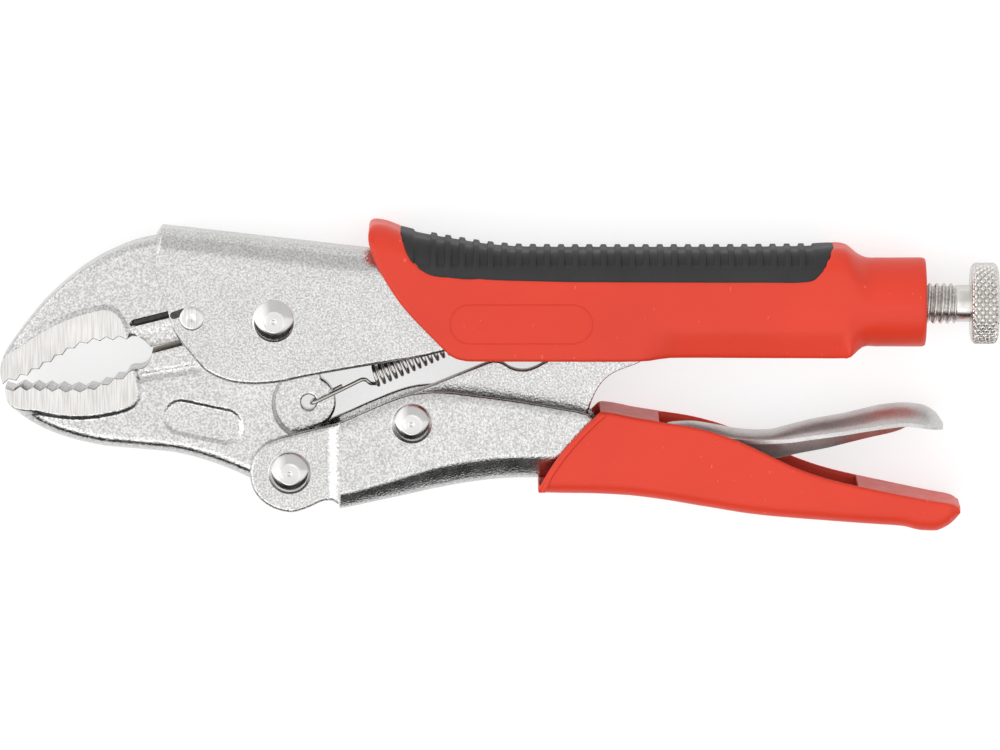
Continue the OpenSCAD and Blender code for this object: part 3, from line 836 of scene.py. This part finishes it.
def build_lugs():
    """Pivot lugs with the joggle that joins them to the channel."""
    lug_top = spline([(-6.3, -38.5), (-5.3, -34.6), (-2.6, -31.6), (1.0, -29.9),
                      (5.5, -28.7), (10.2, -27.5), (13.9, -26.6), (16.5, -25.75)], 0.5)
    right = along_line([(16.5, -25.75), (16.5, -46.5)], 0.7)
    lug_bot = spline([(16.5, -46.5), (15.2, -46.0), (13.8, -45.7), (11.8, -46.0), (9.0, -47.3),
        (6.0, -48.4), (3.6, -48.7), (0.2, -47.9), (-3.2, -45.8), (-5.5, -42.6), (-6.3, -38.5)], 0.5)
    outline = np.concatenate([lug_top[:-1], right[:-1], lug_bot[:-1]])[::-1]

    lug_out, lug_in, step_out = 7.35, 5.4, 1.13

    def lug_face(half, rounding, edge_r, side):
        """Side face of a lug; its edge is rounded only where the lug stands free."""
        def z(p, d):
            joggle = step_out * smoothstep(13.3, 16.1, p[:, 0])
            free = np.where(p[:, 0] > 15.9, 9, d)
            return side * (half + joggle + rounding * fillet(free, edge_r))
        return z

    lines = [np.stack([np.full(50, x), np.linspace(-49, -25, 50)], 1)
             for x in np.linspace(12.8, 16.3, 9)]
    for name, side in (("lug_near", 1), ("lug_far", -1)):
        lug = relief(name, [outline], lug_face(lug_out, -1, 1.0, side), [nickel],
                     bottom=lug_face(lug_in, 1, 0.2, side), grid=0.8,
                     rings=(0.1, 0.25, 0.5, 0.8, 1.1), lines=lines, sharp=50)
        mount(lug, "lower_handle", "plated_sheet")


def build_link():
    pts = [(29.0, -22.4), (32.8, -19.9), (40, -17.0), (47, -14.1), (53.2, -11.6), (55.2, -11.1),
        (57.1, -11.6), (59.3, -12.9), (62, -13.45), (64.8, -12.9), (68.0, -11.2), (75, -7.0),
        (86, -0.3), (95, 5.3), (98.4, 6.6), (100.9, 5.8), (101.8, 3.0), (101.0, -0.4), (98.4, -4.4),
        (95.0, -8.2), (91.5, -11.3), (88.0, -12.7), (85.0, -14.0), (82.6, -15.8), (80.8, -18.2),
        (79.4, -21.2), (78.2, -24.4), (75, -27.4), (70, -29.0), (60, -30.6), (48, -32.0), (38, -32.4),
        (31.5, -31.6), (28.2, -27.8)]
    outline = spline(pts, 0.5, closed=True)[::-1]

    link_z, hub_r, hub_z = 2.1, 5.6, 6.35
    ob = relief("toggle_link_detail", [outline], lambda p, d: link_z - fillet(d, 0.35),
                [nickel, edge_steel], grid=1.4, rings=(0.08, 0.2, 0.36), wall_mat=1, sharp=40)
    hub = lathe("toggle_hub", mirrored([(0, -hub_z), (hub_r - 0.2, -hub_z), (hub_r, 0.2 - hub_z)]),
                (*PIVOT_C, 0), (0, 0, 1), [nickel])
    mount(hub, "toggle", "plated_sheet")
    mount(ob, "toggle", "plated_sheet", "toggle_link")


# ---------------------------------------------------------------- rivets and pins

def dome_profile(r, h):
    """Outer profile of a rivet head with a dished centre, from its rim inwards."""
    ball = (r * r + h * h) / (2 * h)
    dish = 0.52 * r
    flat = h - ball + math.sqrt(ball * ball - dish * dish)
    out = [(r - 0.06, 0.0), (r, 0.12)]
    for rr in np.linspace(r - 0.05, 0, 40):
        z = h - ball + math.sqrt(ball * ball - rr * rr)
        hollow = flat + 0.05 - 0.12 * (1 - (rr / dish) ** 2)
        z += (hollow - z) * smoothstep(dish + 0.2, dish - 0.55, rr)
        z -= 0.2 * smoothstep(0.75, 0.2, rr)
        out.append((float(rr), max(0.15, float(z))))
    return out


def build_rivet(name, p, grip_half, head_r, h, shank, body, node):
    """Rivet with a domed head on each side of a stack 2 * grip_half thick."""
    up = dome_profile(head_r, h)
    prof = [(r, grip_half + z) for r, z in up][::-1]
    prof += [(shank, grip_half - 0.02), (shank, -grip_half + 0.02)]
    prof += [(r, -grip_half - z) for r, z in up]
    build_pin(name, prof, p, polished, 72, body, node, sharp=42)


def build_pin(name, prof, p, mat, n, body, node, sharp=35):
    """Turned pin through p, lying across the tool."""
    ob = lathe(name, prof, (p[0], p[1], 0), (0, 0, 1), [mat], n=n, sharp=sharp)
    mount(ob, body, "rivet_steel", node)


def build_pins():
    build_rivet("main_pivot_detail", (0, 0), 8.6, 5.3, 2.4, 4.0, "upper_handle",
                "main_pivot_rivet")
    build_rivet("lever_pivot_detail", PIVOT_B, 7.35, 5.4, 2.9, 3.5, "lower_handle",
                "lever_pivot_rivet")
    build_rivet("link_pivot_detail", PIVOT_C, 8.5, 5.1, 2.8, 3.5, "lower_handle", "link_rivet")
    flush = [(0, 8.72), (0.35, 8.74), (0.6, 8.9), (2.3, 8.9), (2.85, 8.8), (3.1, 8.55),
             (3.1, -8.55), (2.85, -8.8), (2.3, -8.9), (0, -8.9)]
    build_pin("jaw_pin_detail", flush, PIN, milled, 56, "upper_handle", "fixed_jaw_pin")
    build_pin("release_pin_detail", mirrored([(0, 8.5), (1.7, 8.5), (2, 8.3)]), PIVOT_E,
              polished, 32, "lower_handle", "release_pin")
    build_pin("spring_anchor_detail", mirrored([(0, 8.58), (1.3, 8.58), (1.5, 8.4)]), (62, 1.4),
              polished, 32, "upper_handle", "spring_anchor_pin")


# ---------------------------------------------------------------- adjusting screw

def screw_ring(x, r, around):
    """Ring of points at x around the screw's axis; r may change with the angle."""
    return np.stack([np.full(len(around), x), SCREW_Y + r * np.sin(around), r * np.cos(around)], 1)


def build_thread():
    crest, root, pitch = 5.1, 4.35, 1.75
    start, end = 110.0, 171.05
    around = np.linspace(0, 2 * math.pi, 60, endpoint=False)
    rings = []
    for x in np.arange(start, end, 0.125):
        turn = (x / pitch - around / (2 * math.pi)) % 1.0
        flank = 1 - np.abs(turn - 0.5) * 2
        prof = np.clip(flank * 1.5 - 0.2, 0, 1)
        fade = min(1.0, (end - x) / 0.9)
        rings.append(screw_ring(x, root + (crest - root) * prof * fade, around))
    thread = loft("thread_detail", rings, [zinc], sharp=60)
    mount(thread, "screw", "screw_steel", "adjusting_screw")


def build_knob():
    x0, x1, knob_r = 174.2, 181.2, 10.2
    diamonds, lead, rows = 30, 1.85, 56
    chamfer = 1.3
    around = np.linspace(0, 2 * math.pi, 384, endpoint=False)
    neck = [(170.6, 4.2), (170.6, 4.5), (170.9, 4.65), (x0 - 0.1, 4.65), (x0, 4.9), (x0, 8.6),
            (x0 + 0.15, 9.0)]
    end_face = [(x1 - 0.15, 8.9), (x1, 8.5), (x1, 3.0), (x1 - 0.35, 2.4), (x1 - 0.9, 0.5)]
    rings = [screw_ring(x, r, around) for x, r in neck]
    for i in range(rows + 1):
        x = x0 + 0.15 + i / rows * (x1 - x0 - 0.3)
        edge = min(x - x0, x1 - x)
        drop = 1.15 * (1 - min(1, edge / chamfer)) ** 1.6
        s = around * diamonds / (2 * math.pi)
        t = (x - x0) / lead
        a = np.abs(((s + t) % 1) - 0.5) * 2
        b = np.abs(((s - t) % 1) - 0.5) * 2
        diamond = np.clip(np.minimum(a, b) * 2.1, 0, 1)
        depth = 0.6 * smoothstep(0.15, 0.9, edge)
        rings.append(screw_ring(x, knob_r - drop - depth * (1 - diamond), around))
    rings += [screw_ring(x, r, around) for x, r in end_face]
    knob = loft("knob_detail", rings, [knurled], sharp=50)
    mount(knob, "screw", "screw_steel", "adjusting_screw")


def build_tip_and_bush():
    axis = (0, SCREW_Y, 0), (1, 0, 0)
    tip = lathe("screw_tip_detail", [(0, 105.0), (2.6, 105.0), (3.5, 105.9), (3.6, 106.2),
                                     (3.6, 109.0), (0, 109.0)], *axis, [zinc], n=40)
    mount(tip, "screw_carrier", "screw_steel", "screw_tip")
    bush = lathe("bush_detail", [(5.2, 141), (7.2, 141), (7.2, 162.2), (6.8, 162.6),
                                 (5.5, 162.6), (5.2, 162.3), (5.2, 141)], *axis, [zinc], n=56)
    mount(bush, "upper_handle", "screw_steel", "screw_bush")


# ---------------------------------------------------------------- spring

def build_spring():
    start = np.array([24.4, -15.2, 0.0])
    slope = math.radians(23.6)
    ax = np.array([math.cos(slope), math.sin(slope), 0])
    up = np.array([-math.sin(slope), math.cos(slope), 0])
    zz = np.array([0, 0, 1.0])
    r, pitch, turns, per_turn = 2.6, 1.62, 20, 22
    phase = -2.0
    hook = [(16.9, -17.9, -2.45), (12.5, -20.1, -2.5), (10.0, -21.4, -2.4), (9.3, -21.7, -1.4),
        (9.25, -21.75, 0.0), (9.3, -21.7, 1.5), (10.0, -21.4, 2.45), (12.5, -20.2, 2.55),
        (17.5, -17.8, 2.3), (20.6, -16.3, 1.9), (21.9, -15.75, 1.7), (22.9, -15.9, 1.3),
        (24.0, -16.8, 0.8)]
    path = [np.array(h) for h in hook]
    for i in range(turns * per_turn + 1):
        t = i / per_turn
        a = phase + 2 * math.pi * t
        path.append(start + ax * (0.5 + t * pitch) + r * (math.cos(a) * zz + math.sin(a) * up))
    end = start + ax * (0.5 + turns * pitch)
    path += [end + ax * 1.0 + up * -0.6, end + ax * 2.6, end + ax * 5.0]
    pts = np.array(path)
    head = spline(pts[:len(hook) + 3], 0.35)
    pts = np.concatenate([head[:-1], pts[len(hook) + 2:]])
    ob = tube("tension_spring_detail", pts, 0.5, [wire_steel])
    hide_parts("tension_spring")
    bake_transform(ob)


# ---------------------------------------------------------------- grips

def remeshed(ob, voxel, mat):
    """Merge an object's parts into one softened skin."""
    merge = ob.modifiers.new("voxel", "REMESH")
    merge.mode = "VOXEL"
    merge.voxel_size = voxel * MM
    merge.use_smooth_shade = True
    soften = ob.modifiers.new("soften", "SMOOTH")
    soften.factor = 0.5
    soften.iterations = 4
    apply_modifiers(ob)
    me = ob.data
    me.materials.clear()
    me.materials.append(mat)
    me.polygons.foreach_set("material_index", np.zeros(len(me.polygons), np.int32))
    me.polygons.foreach_set("use_smooth", np.ones(len(me.polygons), bool))
    me.update()


grip_top = smooth_curve([(23.5, 21.5), (23.9, 23.2), (25.2, 24.1), (27.5, 23.8), (31.2, 22.5),
    (36.6, 21.1), (46.1, 19.4), (55, 18.1), (62.7, 17.6), (75, 17.5), (106, 17.5), (131, 17.7),
    (140.3, 18.1), (143, 17.7), (146.3, 16.5), (149.2, 15.4), (151.5, 14.9)])
grip_low = curve(bend([(23.5, 20.6), (24.3, 18.5), (26.7, 12.4), (30.8, 5.7), (34.0, 1.7), (37, -1.5),
    (40.7, -5.3), (43.7, -8.2), (45.8, -9.4), (48.6, -9.95)], 0.4) + [(86, -10.05), (93, -9.9),
    (99, -9.5), (107, -9.45), (125, -9.75), (139.7, -10.0), (142.4, -9.9), (143.6, -9.5), (149.2, -7.4),
    (151.5, -7.3)])
insert_low = curve(bend([(31.2, 24.6), (31.6, 22.6), (32.2, 20.4), (33.4, 16.9), (35.3, 14.1),
    (38.7, 12.0), (42, 11.3), (46.1, 10.9)], 0.3) + [(58.6, 10.5), (75.2, 10.1), (106.2, 9.9),
    (130.0, 9.8)] + bend([(131, 9.85), (133, 10.0), (134.8, 10.6), (136.6, 12.4), (138.1, 15.2),
    (139.4, 18.0), (140.4, 20.5)], 0.3))
# half width, top radius and half the inner width of the upper grip
GRIP_W, GRIP_R, GRIP_BORE = 11.2, 6.4, 8.65
# height of the collar's axis, and its outer and inner radius
COLLAR_Y, COLLAR_R, COLLAR_BORE = 3.65, 11.15, 9.7
# the black insert's ends along x
INSERT_X0, INSERT_X1 = 31.2, 140.4


def grip_outline(x, n_arc=16, n_wall=26):
    """Right half of the grip's section, from its lower edge to the middle of the top."""
    top, low = float(grip_top(x)), float(grip_low(x))
    r = min(GRIP_R, max(0.6, (top - low) * 0.9))
    ys = np.linspace(low, top - r, n_wall)
    pts = [(GRIP_W, y) for y in ys[:-1]]
    a = np.linspace(0, math.pi / 2, n_arc)
    pts += [(GRIP_W - r + r * math.cos(k), top - r + r * math.sin(k)) for k in a]
    pts += [((GRIP_W - r) * (1 - t), top) for t in np.linspace(0, 1, 6)[1:]]
    return np.array(pts)


def build_upper_grip():
    xs = np.concatenate([np.linspace(23.6, 30, 26), np.linspace(30.5, 50, 50),
                         np.linspace(51, 139, 90), np.linspace(139.5, 151.5, 26)])
    rings = []
    for x in xs:
        half = grip_outline(x)
        low = half[0, 1]
        z, y = half[:, 0].copy(), half[:, 1].copy()
        # finger scoop along the lower rear of each side
        scoop = smoothstep(91, 101, x) * smoothstep(144.5, 142, x)
        below = -2.2 - y
        z -= 0.21 * scoop * (below + np.sqrt(below ** 2 + 0.8))
        # the section turns round towards the collar
        turn = float(smoothstep(142.5, 149.5, x))
        round_half = np.radians(np.linspace(-72, 90, len(half)))
        z += (COLLAR_R * np.cos(round_half) - z) * turn
        y += (COLLAR_Y + COLLAR_R * np.sin(round_half) - y) * turn
        # rounded lower edge
        z -= 0.55 * smoothstep(low + 1.1, low, y) ** 2
        # bed for the black insert
        if INSERT_X0 < x < INSERT_X1:
            line = float(insert_low(x))
            depth = 1.7 * smoothstep(line + 0.5, line + 1.2, y)
            ny = np.clip((y - (grip_top(x) - GRIP_R)) / GRIP_R, 0, 1)
            nz = np.sqrt(1 - ny ** 2)
            flat = y >= grip_top(x) - 1e-6
            ny[flat], nz[flat] = 1.0, 0.0
            y -= depth * ny
            z -= depth * nz
        ring = list(zip(z, y)) + list(zip(-z[::-1][1:], y[::-1][1:]))
        # the inside follows the steel handle, then the collar's bore
        roof, hw, r = float(shell_top(x)) + 0.05, GRIP_BORE, SHELL_R
        inner = [(-hw + 1.25 * scoop, low), (-hw, (low + roof - r) / 2)]
        inner += [(-(hw - r + r * math.cos(k)), max(low, roof - r + r * math.sin(k)))
                  for k in np.linspace(0, math.pi / 2, 8)]
        inner = np.array(inner)
        bore = np.radians(np.linspace(-72, 90, len(inner)))
        inner[:, 0] += (-COLLAR_BORE * np.cos(bore) - inner[:, 0]) * turn
        inner[:, 1] += (COLLAR_Y + COLLAR_BORE * np.sin(bore) - inner[:, 1]) * turn
        inner = [tuple(q) for q in inner]
        inner += [(-p, q) for p, q in inner[::-1]]
        ring += inner
        rings.append([(x, q, p) for p, q in ring])
    main = loft("upper_grip_detail", rings, [red])
    collar = lathe("grip_collar", [(7.4, 150.0), (11.15, 150.0), (11.15, 151.5), (11.2, 162.0),
        (11.05, 162.7), (10.5, 163.0), (7.7, 163.0), (7.4, 162.7), (7.4, 150.0)], (0, COLLAR_Y, 0),
        (1, 0, 0), [red], n=72)
    neck = lathe("grip_neck", [(9.65, 145), (10.6, 145), (11.0, 148), (11.2, 151), (9.65, 151),
                               (9.65, 145)],
                 (0, COLLAR_Y, 0), (1, 0, 0), [red], n=72)
    ob = join("upper_grip_detail", [main, collar, neck])
    remeshed(ob, 0.42, red)
    mount(ob, "upper_handle", "red_grip", "upper_grip")
    # badge outline, left blank: a thin raised bead
    ring = stadium([(48.8, -0.4), (74.5, -0.4)], 4.9, 0.4)
    p3 = np.column_stack([ring, np.full(len(ring), GRIP_W - 0.02)])
    p3 = np.concatenate([p3, p3[:2]])
    badge = tube("badge_bead", p3, 0.16, [red], sides=8)
    mount(badge, "upper_handle", "red_grip")


def build_insert():
    ribs, first, pitch = 27, 39.95, 3.535
    x0, x1 = 31.3, 140.35
    xs = [x0, 31.5, 31.8, 32.2, 32.8, 33.5, 34.2, 34.7, 34.85, 35.0, 35.15, 35.3, 36.5, 37.5,
          38.4]
    for k in range(ribs):
        xs += [first + k * pitch + dx
               for dx in (-1.2, -1.0, -0.83, -0.68, -0.5, 0, 0.5, 0.68, 0.83, 1.0, 1.2)]
    xs += [133.6, 134.3, 134.45, 134.65, 134.8, 135.2, 136.0, 136.8, 137.5, 138.1, 138.7, 139.2,
           139.6, 140.0, x1]
    xs = np.array(sorted(set(round(x, 4) for x in xs)))
    around, thick, proud, rib_depth = 76, 1.6, 0.07, 0.68
    rings = []
    for x in xs:
        half = grip_outline(x, 40, 60)
        # path from the insert's lower edge over the top
        line = float(insert_low(x))
        top = float(grip_top(x))
        line = min(line, top - 0.02)
        keep = half[:, 1] > line
        z0 = np.interp(line, half[:, 1][:-5], half[:, 0][:-5])
        side = np.concatenate([[(z0, line)], half[keep]])
        full = np.concatenate([side, np.column_stack([-side[::-1][1:, 0], side[::-1][1:, 1]])])
        seg = np.concatenate([[0], np.cumsum(np.linalg.norm(np.diff(full, axis=0), axis=1))])
        s = np.linspace(0, seg[-1], around)
        z = np.interp(s, seg, full[:, 0])
        y = np.interp(s, seg, full[:, 1])
        tz, ty = np.gradient(z), np.gradient(y)
        l = np.maximum(np.hypot(tz, ty), 1e-9)
        nz, ny = ty / l, -tz / l
        k = (x - first) / pitch
        near = abs(k - round(k)) * pitch
        on = smoothstep(0.92, 0.62, near) if -0.5 < k < ribs - 0.5 else 0.0
        block = max(smoothstep(35.3, 34.7, x), smoothstep(134.3, 134.8, x))
        # ribs run over the top and a little way down each side
        region = smoothstep(13.6, 14.6, y)
        floor = -rib_depth * region
        level = proud + floor * (1 - on) * (1 - block * 0.8)
        # a shallow rounded edge where the insert meets the grip
        e = np.minimum(s, seg[-1] - s)
        end = min(x - x0, x1 - x)
        level = level - 0.25 * (1 - smoothstep(0.0, 0.5, e)) - 0.3 * (1 - smoothstep(0, 0.5, end))
        oz, oy = z + nz * level, y + ny * level
        iz, iy = z - nz * thick, y - ny * thick
        ring = list(zip(oz, oy)) + list(zip(iz[::-1], iy[::-1]))
        rings.append([(x, q, p) for p, q in ring])
    ob = loft("grip_insert_detail", rings, [rubber], sharp=50)
    mount(ob, "upper_handle", "black_insert", "grip_insert")


low_top = smooth_curve([(65.9, -42.6), (68.5, -37.9), (72, -32.9), (76, -28.3), (80, -24.2),
    (81.6, -22.9), (90.6, -24.4), (96.3, -25.3), (103.5, -26.4), (110.7, -28.2), (116.6, -30.4),
    (122.8, -33.3), (131.1, -37.2), (138.8, -39.8), (148, -42.0), (157.2, -43.9), (164.2, -45.3),
    (169.6, -46.3), (171.2, -47.0), (171.9, -48.4)])
low_bot = smooth_curve([(65.9, -43.2), (67.0, -43.6), (80.4, -43.9), (88, -44.3), (95.7, -45.2),
    (107.2, -47.1), (121.2, -49.3), (138.8, -50.8), (148, -51.5), (157.2, -52.2), (161.9, -53.3),
    (165.4, -53.5), (168.2, -52.5), (170.4, -50.8), (171.5, -49.3), (171.9, -48.7)])


def tail_taper(x):
    """How much the lower grip narrows on each side towards its tail."""
    return 1.2 * smoothstep(150, 171.9, x) + 1.3 * smoothstep(168, 171.9, x) ** 2


def build_lower_grip():
    w, r, wall = 10.3, 4.2, 1.7
    xs = np.concatenate([np.linspace(65.95, 82, 60), np.linspace(82.4, 146, 80),
                         np.linspace(146.4, 171.88, 50)])
    rings = []
    for x in xs:
        top, bot = float(low_top(x)), float(low_bot(x))
        rr = min(r, max(0.25, (top - bot) * 0.85))
        section = u_ring(x, -bot, -top, w - tail_taper(x), rr, wall, n=10,
                         lip=min(0.6, (top - bot) * 0.3), wn=8)
        rings.append([(px, -py, pz) for px, py, pz in section])
    shell = loft("lower_grip_detail", rings, [red])

    core = []
    for x in np.linspace(146.0, 171.86, 60):
        top, bot = float(low_top(x)) - 0.02, float(low_bot(x)) + 0.1
        hw = w - 0.1 - float(tail_taper(x))
        rr = min(r, max(0.2, (top - bot) * 0.85))
        q = np.linspace(0, math.pi / 2, 8)
        c = min(0.8, (top - bot) * 0.3)
        half = [(hw - c, top), (hw - 0.25 * c, top - 0.25 * c), (hw, top - c)]
        half += [(hw - rr + rr * math.cos(k), bot + rr - rr * math.sin(k)) for k in q]
        core.append([(x, y, z) for z, y in half + [(-z, y) for z, y in half[::-1]]])
    tail = loft("tail", core, [red])

    # strap across the open side, in front of the release lever's slot
    band = []
    for x in np.linspace(81.5, 96.3, 24):
        top = float(low_top(x)) + 0.1
        bot = max(top - 2.1, float(low_bot(x)) + 0.6)
        half = [(w, bot), (w, top - 1.0), (w - 0.3, top - 0.3), (w - 1.0, top)]
        band.append([(x, y, z) for z, y in half[1:] + [(-z, y) for z, y in half[::-1]] + half[:1]])
    strap = loft("strap", band, [red])
    ob = join("lower_grip_detail", [shell, strap, tail])
    remeshed(ob, 0.4, red)
    mount(ob, "lower_handle", "red_grip", "lower_grip")
    # raised rim along the slanted front edge
    line = spline([(66.4, -42.7), (68.6, -38.4), (72.1, -33.4), (76.1, -28.7), (80.2, -24.6),
                   (81.8, -23.3)], 0.5)
    for name, z in (("rim_near", 10.05), ("rim_far", -10.05)):
        pts = np.column_stack([line[:, 0] + 0.75, line[:, 1] - 0.2, np.full(len(line), z)])
        rim = tube(name, pts, 0.62, [red])
        mount(rim, "lower_handle", "red_grip")


# ---------------------------------------------------------------- release lever

rel_top = smooth_curve([(92, -32.4), (94.5, -30.2), (96.8, -27.9), (99.5, -26.7), (104, -26.5),
    (110, -27.3), (116.3, -28.5), (121, -28.8), (124.1, -28.7), (127.7, -27.8), (134.8, -26.0),
    (142, -24.7), (147.6, -23.4), (152.6, -22.3), (157.6, -21.9), (161.9, -22.3), (165.4, -24.0),
    (167.0, -26.0), (167.6, -27.0)])
rel_near = smooth_curve([(92, -33.4), (99, -31.4), (106, -30.2), (112.7, -29.8), (120.5, -30.3),
    (127.7, -30.0), (134.8, -29.0), (142, -27.9), (149, -26.7), (154.7, -25.9), (157.6, -25.6),
    (161.9, -26.0), (166.5, -26.8), (167.6, -27.1)])
rel_web = smooth_curve([(92, -34.8), (99, -36.4), (106, -36.9), (118, -36.3), (126.2, -35.3),
    (131.2, -34.2), (138.4, -32.8), (142, -31.9), (149, -30.1), (156.1, -28.3), (158.2, -27.2)])


def build_release():
    """Stamped lever: an arched plate that narrows to a round tip, and a web on each side."""
    xs = np.concatenate([np.linspace(92.2, 120, 30), np.linspace(121, 155, 40),
                         np.linspace(155.6, 163, 12), np.linspace(163.3, 167.55, 22)])
    thick = 1.25
    tip_start, tip_length = 161.5, 6.2
    across = np.linspace(-1, 1, 27)
    arch = 1 - np.abs(across) ** 2.3
    rings = []
    for x in xs:
        top, near = float(rel_top(x)), float(rel_near(x))
        w = 5.9 + 1.9 * float(smoothstep(122, 150, x))
        if x > tip_start:
            w *= math.sqrt(max(0.02, 1 - ((x - tip_start) / tip_length) ** 2))
        up = [(w * k, near + (top - near) * a) for k, a in zip(across, arch)]
        up[0], up[-1] = (-w, near - 0.25), (w, near - 0.25)
        under = [(w * k * 0.965, near - thick + (top - near) * a) for k, a in zip(across, arch)]
        rings.append([(x, y, z) for z, y in up + under[::-1]])
    plate = loft("release_lever_detail", rings, [lever_steel], sharp=45)
    webs = []
    for side in (1, -1):
        web = []
        for x in np.linspace(92.4, 158.2, 80):
            y1 = float(rel_near(x)) - 0.7
            y0 = min(float(rel_web(x)), y1 - 0.2)
            z1 = 5.6
            z2 = z1 - 0.62 * min(y1 - y0, 3.2)
            web.append([(x, y1, side * (z1 - 1.3)), (x, y1, side * z1),
                        (x, y0 + 0.3, side * (z2 + 0.15)), (x, y0, side * (z2 - 0.2)),
                        (x, y0, side * (z2 - 1.0)), (x, y0 + 0.2, side * (z2 - 1.25))])
        webs.append(loft("web", web, [lever_steel], sharp=45))
    for web in webs:
        mount(web, "release", "plated_sheet")
    mount(plate, "release", "plated_sheet", "release_lever")


build_fixed_jaw()
build_movable_jaw()
build_shell()
build_channel()
build_lugs()
build_link()
build_pins()
build_thread()
build_knob()
build_tip_and_bush()
build_spring()
build_upper_grip()
build_insert()
build_lower_grip()
build_release()

# ---------------------------------------------------------------- floor, light, camera

floor_mat = material("floor_white", (0.36, 0.36, 0.36), 0.0, 0.9, drift=0.004, drift_scale=2,
                     specular=0.1, bumps=[(0.02, 0.02, 300)])
floor_inputs = floor_mat.node_tree.nodes["Principled BSDF"].inputs
floor_inputs["Emission Color"].default_value = (1, 1, 1, 1)
floor_inputs["Emission Strength"].default_value = 0.68
FLOOR = 4.0    # half the floor's side, in metres
me = bpy.data.meshes.new("floor")
me.from_pydata([(-FLOOR, -FLOOR, 0), (FLOOR, -FLOOR, 0), (FLOOR, FLOOR, 0), (-FLOOR, FLOOR, 0)],
               [], [(0, 1, 2, 3)])
me.materials.append(floor_mat)
floor = bpy.data.objects.new("floor", me)
bpy.context.scene.collection.objects.link(floor)

# A wide soft box overhead leans to the near side; beyond it the room is grey on the
# far side and black on the near side. The angle runs from the zenith towards +Y.
SOFT_BOX, FAR_SIDE, NEAR_SIDE = 1.33, 0.92, 0.02
BOX_STARTS, BOX_ENDS = (-61, -47), (3, 24)    # degrees over which each edge fades
world = bpy.data.worlds.new("studio")
bpy.context.scene.world = world
world.use_nodes = True
wnt = world.node_tree
sep = wnt.nodes.new("ShaderNodeSeparateXYZ")
wnt.links.new(wnt.nodes.new("ShaderNodeTexCoord").outputs["Generated"], sep.inputs["Vector"])


def combined(operation, a, b):
    n = wnt.nodes.new("ShaderNodeMath")
    n.operation = operation
    wnt.links.new(a, n.inputs[0])
    wnt.links.new(b, n.inputs[1])
    return n.outputs[0]


def mapped(source, kind, low, high, start, end):
    """Values from low to high become values from start to end."""
    n = wnt.nodes.new("ShaderNodeMapRange")
    n.interpolation_type = kind
    for key, value in zip(("From Min", "From Max", "To Min", "To Max"), (low, high, start, end)):
        n.inputs[key].default_value = value
    wnt.links.new(source, n.inputs["Value"])
    return n.outputs["Result"]


angle = combined("ARCTAN2", sep.outputs["Y"], sep.outputs["Z"])
near_edge = mapped(angle, "SMOOTHSTEP", *np.radians(BOX_STARTS).tolist(), NEAR_SIDE, SOFT_BOX)
far_edge = mapped(angle, "SMOOTHSTEP", *np.radians(BOX_ENDS).tolist(), 0.0, FAR_SIDE - SOFT_BOX)
# the box is brighter towards the jaws' end
glow = mapped(sep.outputs["X"], "LINEAR", -0.25, -0.75, 1.0, 1.8)
strength = combined("MULTIPLY", combined("ADD", near_edge, far_edge), glow)
wnt.links.new(strength, wnt.nodes["Background"].inputs["Strength"])
wnt.nodes["Background"].inputs["Color"].default_value = (1, 1, 1, 1)


def area(name, loc, size, radiance):
    """Rectangular light that shines on the tool with the given radiance."""
    light = bpy.data.lights.new(name, "AREA")
    light.shape = "RECTANGLE"
    light.size, light.size_y = size
    light.energy = radiance * math.pi * size[0] * size[1]
    ob = bpy.data.objects.new(name, light)
    ob.location = loc
    ob.rotation_euler = (-Vector(loc)).to_track_quat("-Z", "Y").to_euler()
    bpy.context.scene.collection.objects.link(ob)


area("key", (-0.25, -0.78, 1.15), (0.5, 0.35), 1.5)
area("strip", (0.30, -0.30, 1.3), (0.12, 0.5), 1.5)

cam_data = bpy.data.cameras.new("camera")
cam = bpy.data.objects.new("camera", cam_data)
bpy.context.scene.collection.objects.link(cam)
TILT = math.radians(8.5)
DISTANCE = 2.4
SENSOR = 36
VIEW_WIDTH = 0.2507
aim = Vector((-0.0001, 0.0, 0.0113))
cam.location = aim + Vector((0, math.sin(TILT), math.cos(TILT))) * DISTANCE
cam.rotation_euler = (-TILT, 0, 0)
cam_data.sensor_width = SENSOR
cam_data.lens = SENSOR * DISTANCE / VIEW_WIDTH
cam_data.clip_start = 0.01
bpy.context.scene.camera = cam
bpy.context.scene.view_settings.view_transform = "Standard"
bpy.context.scene.view_settings.look = "None"
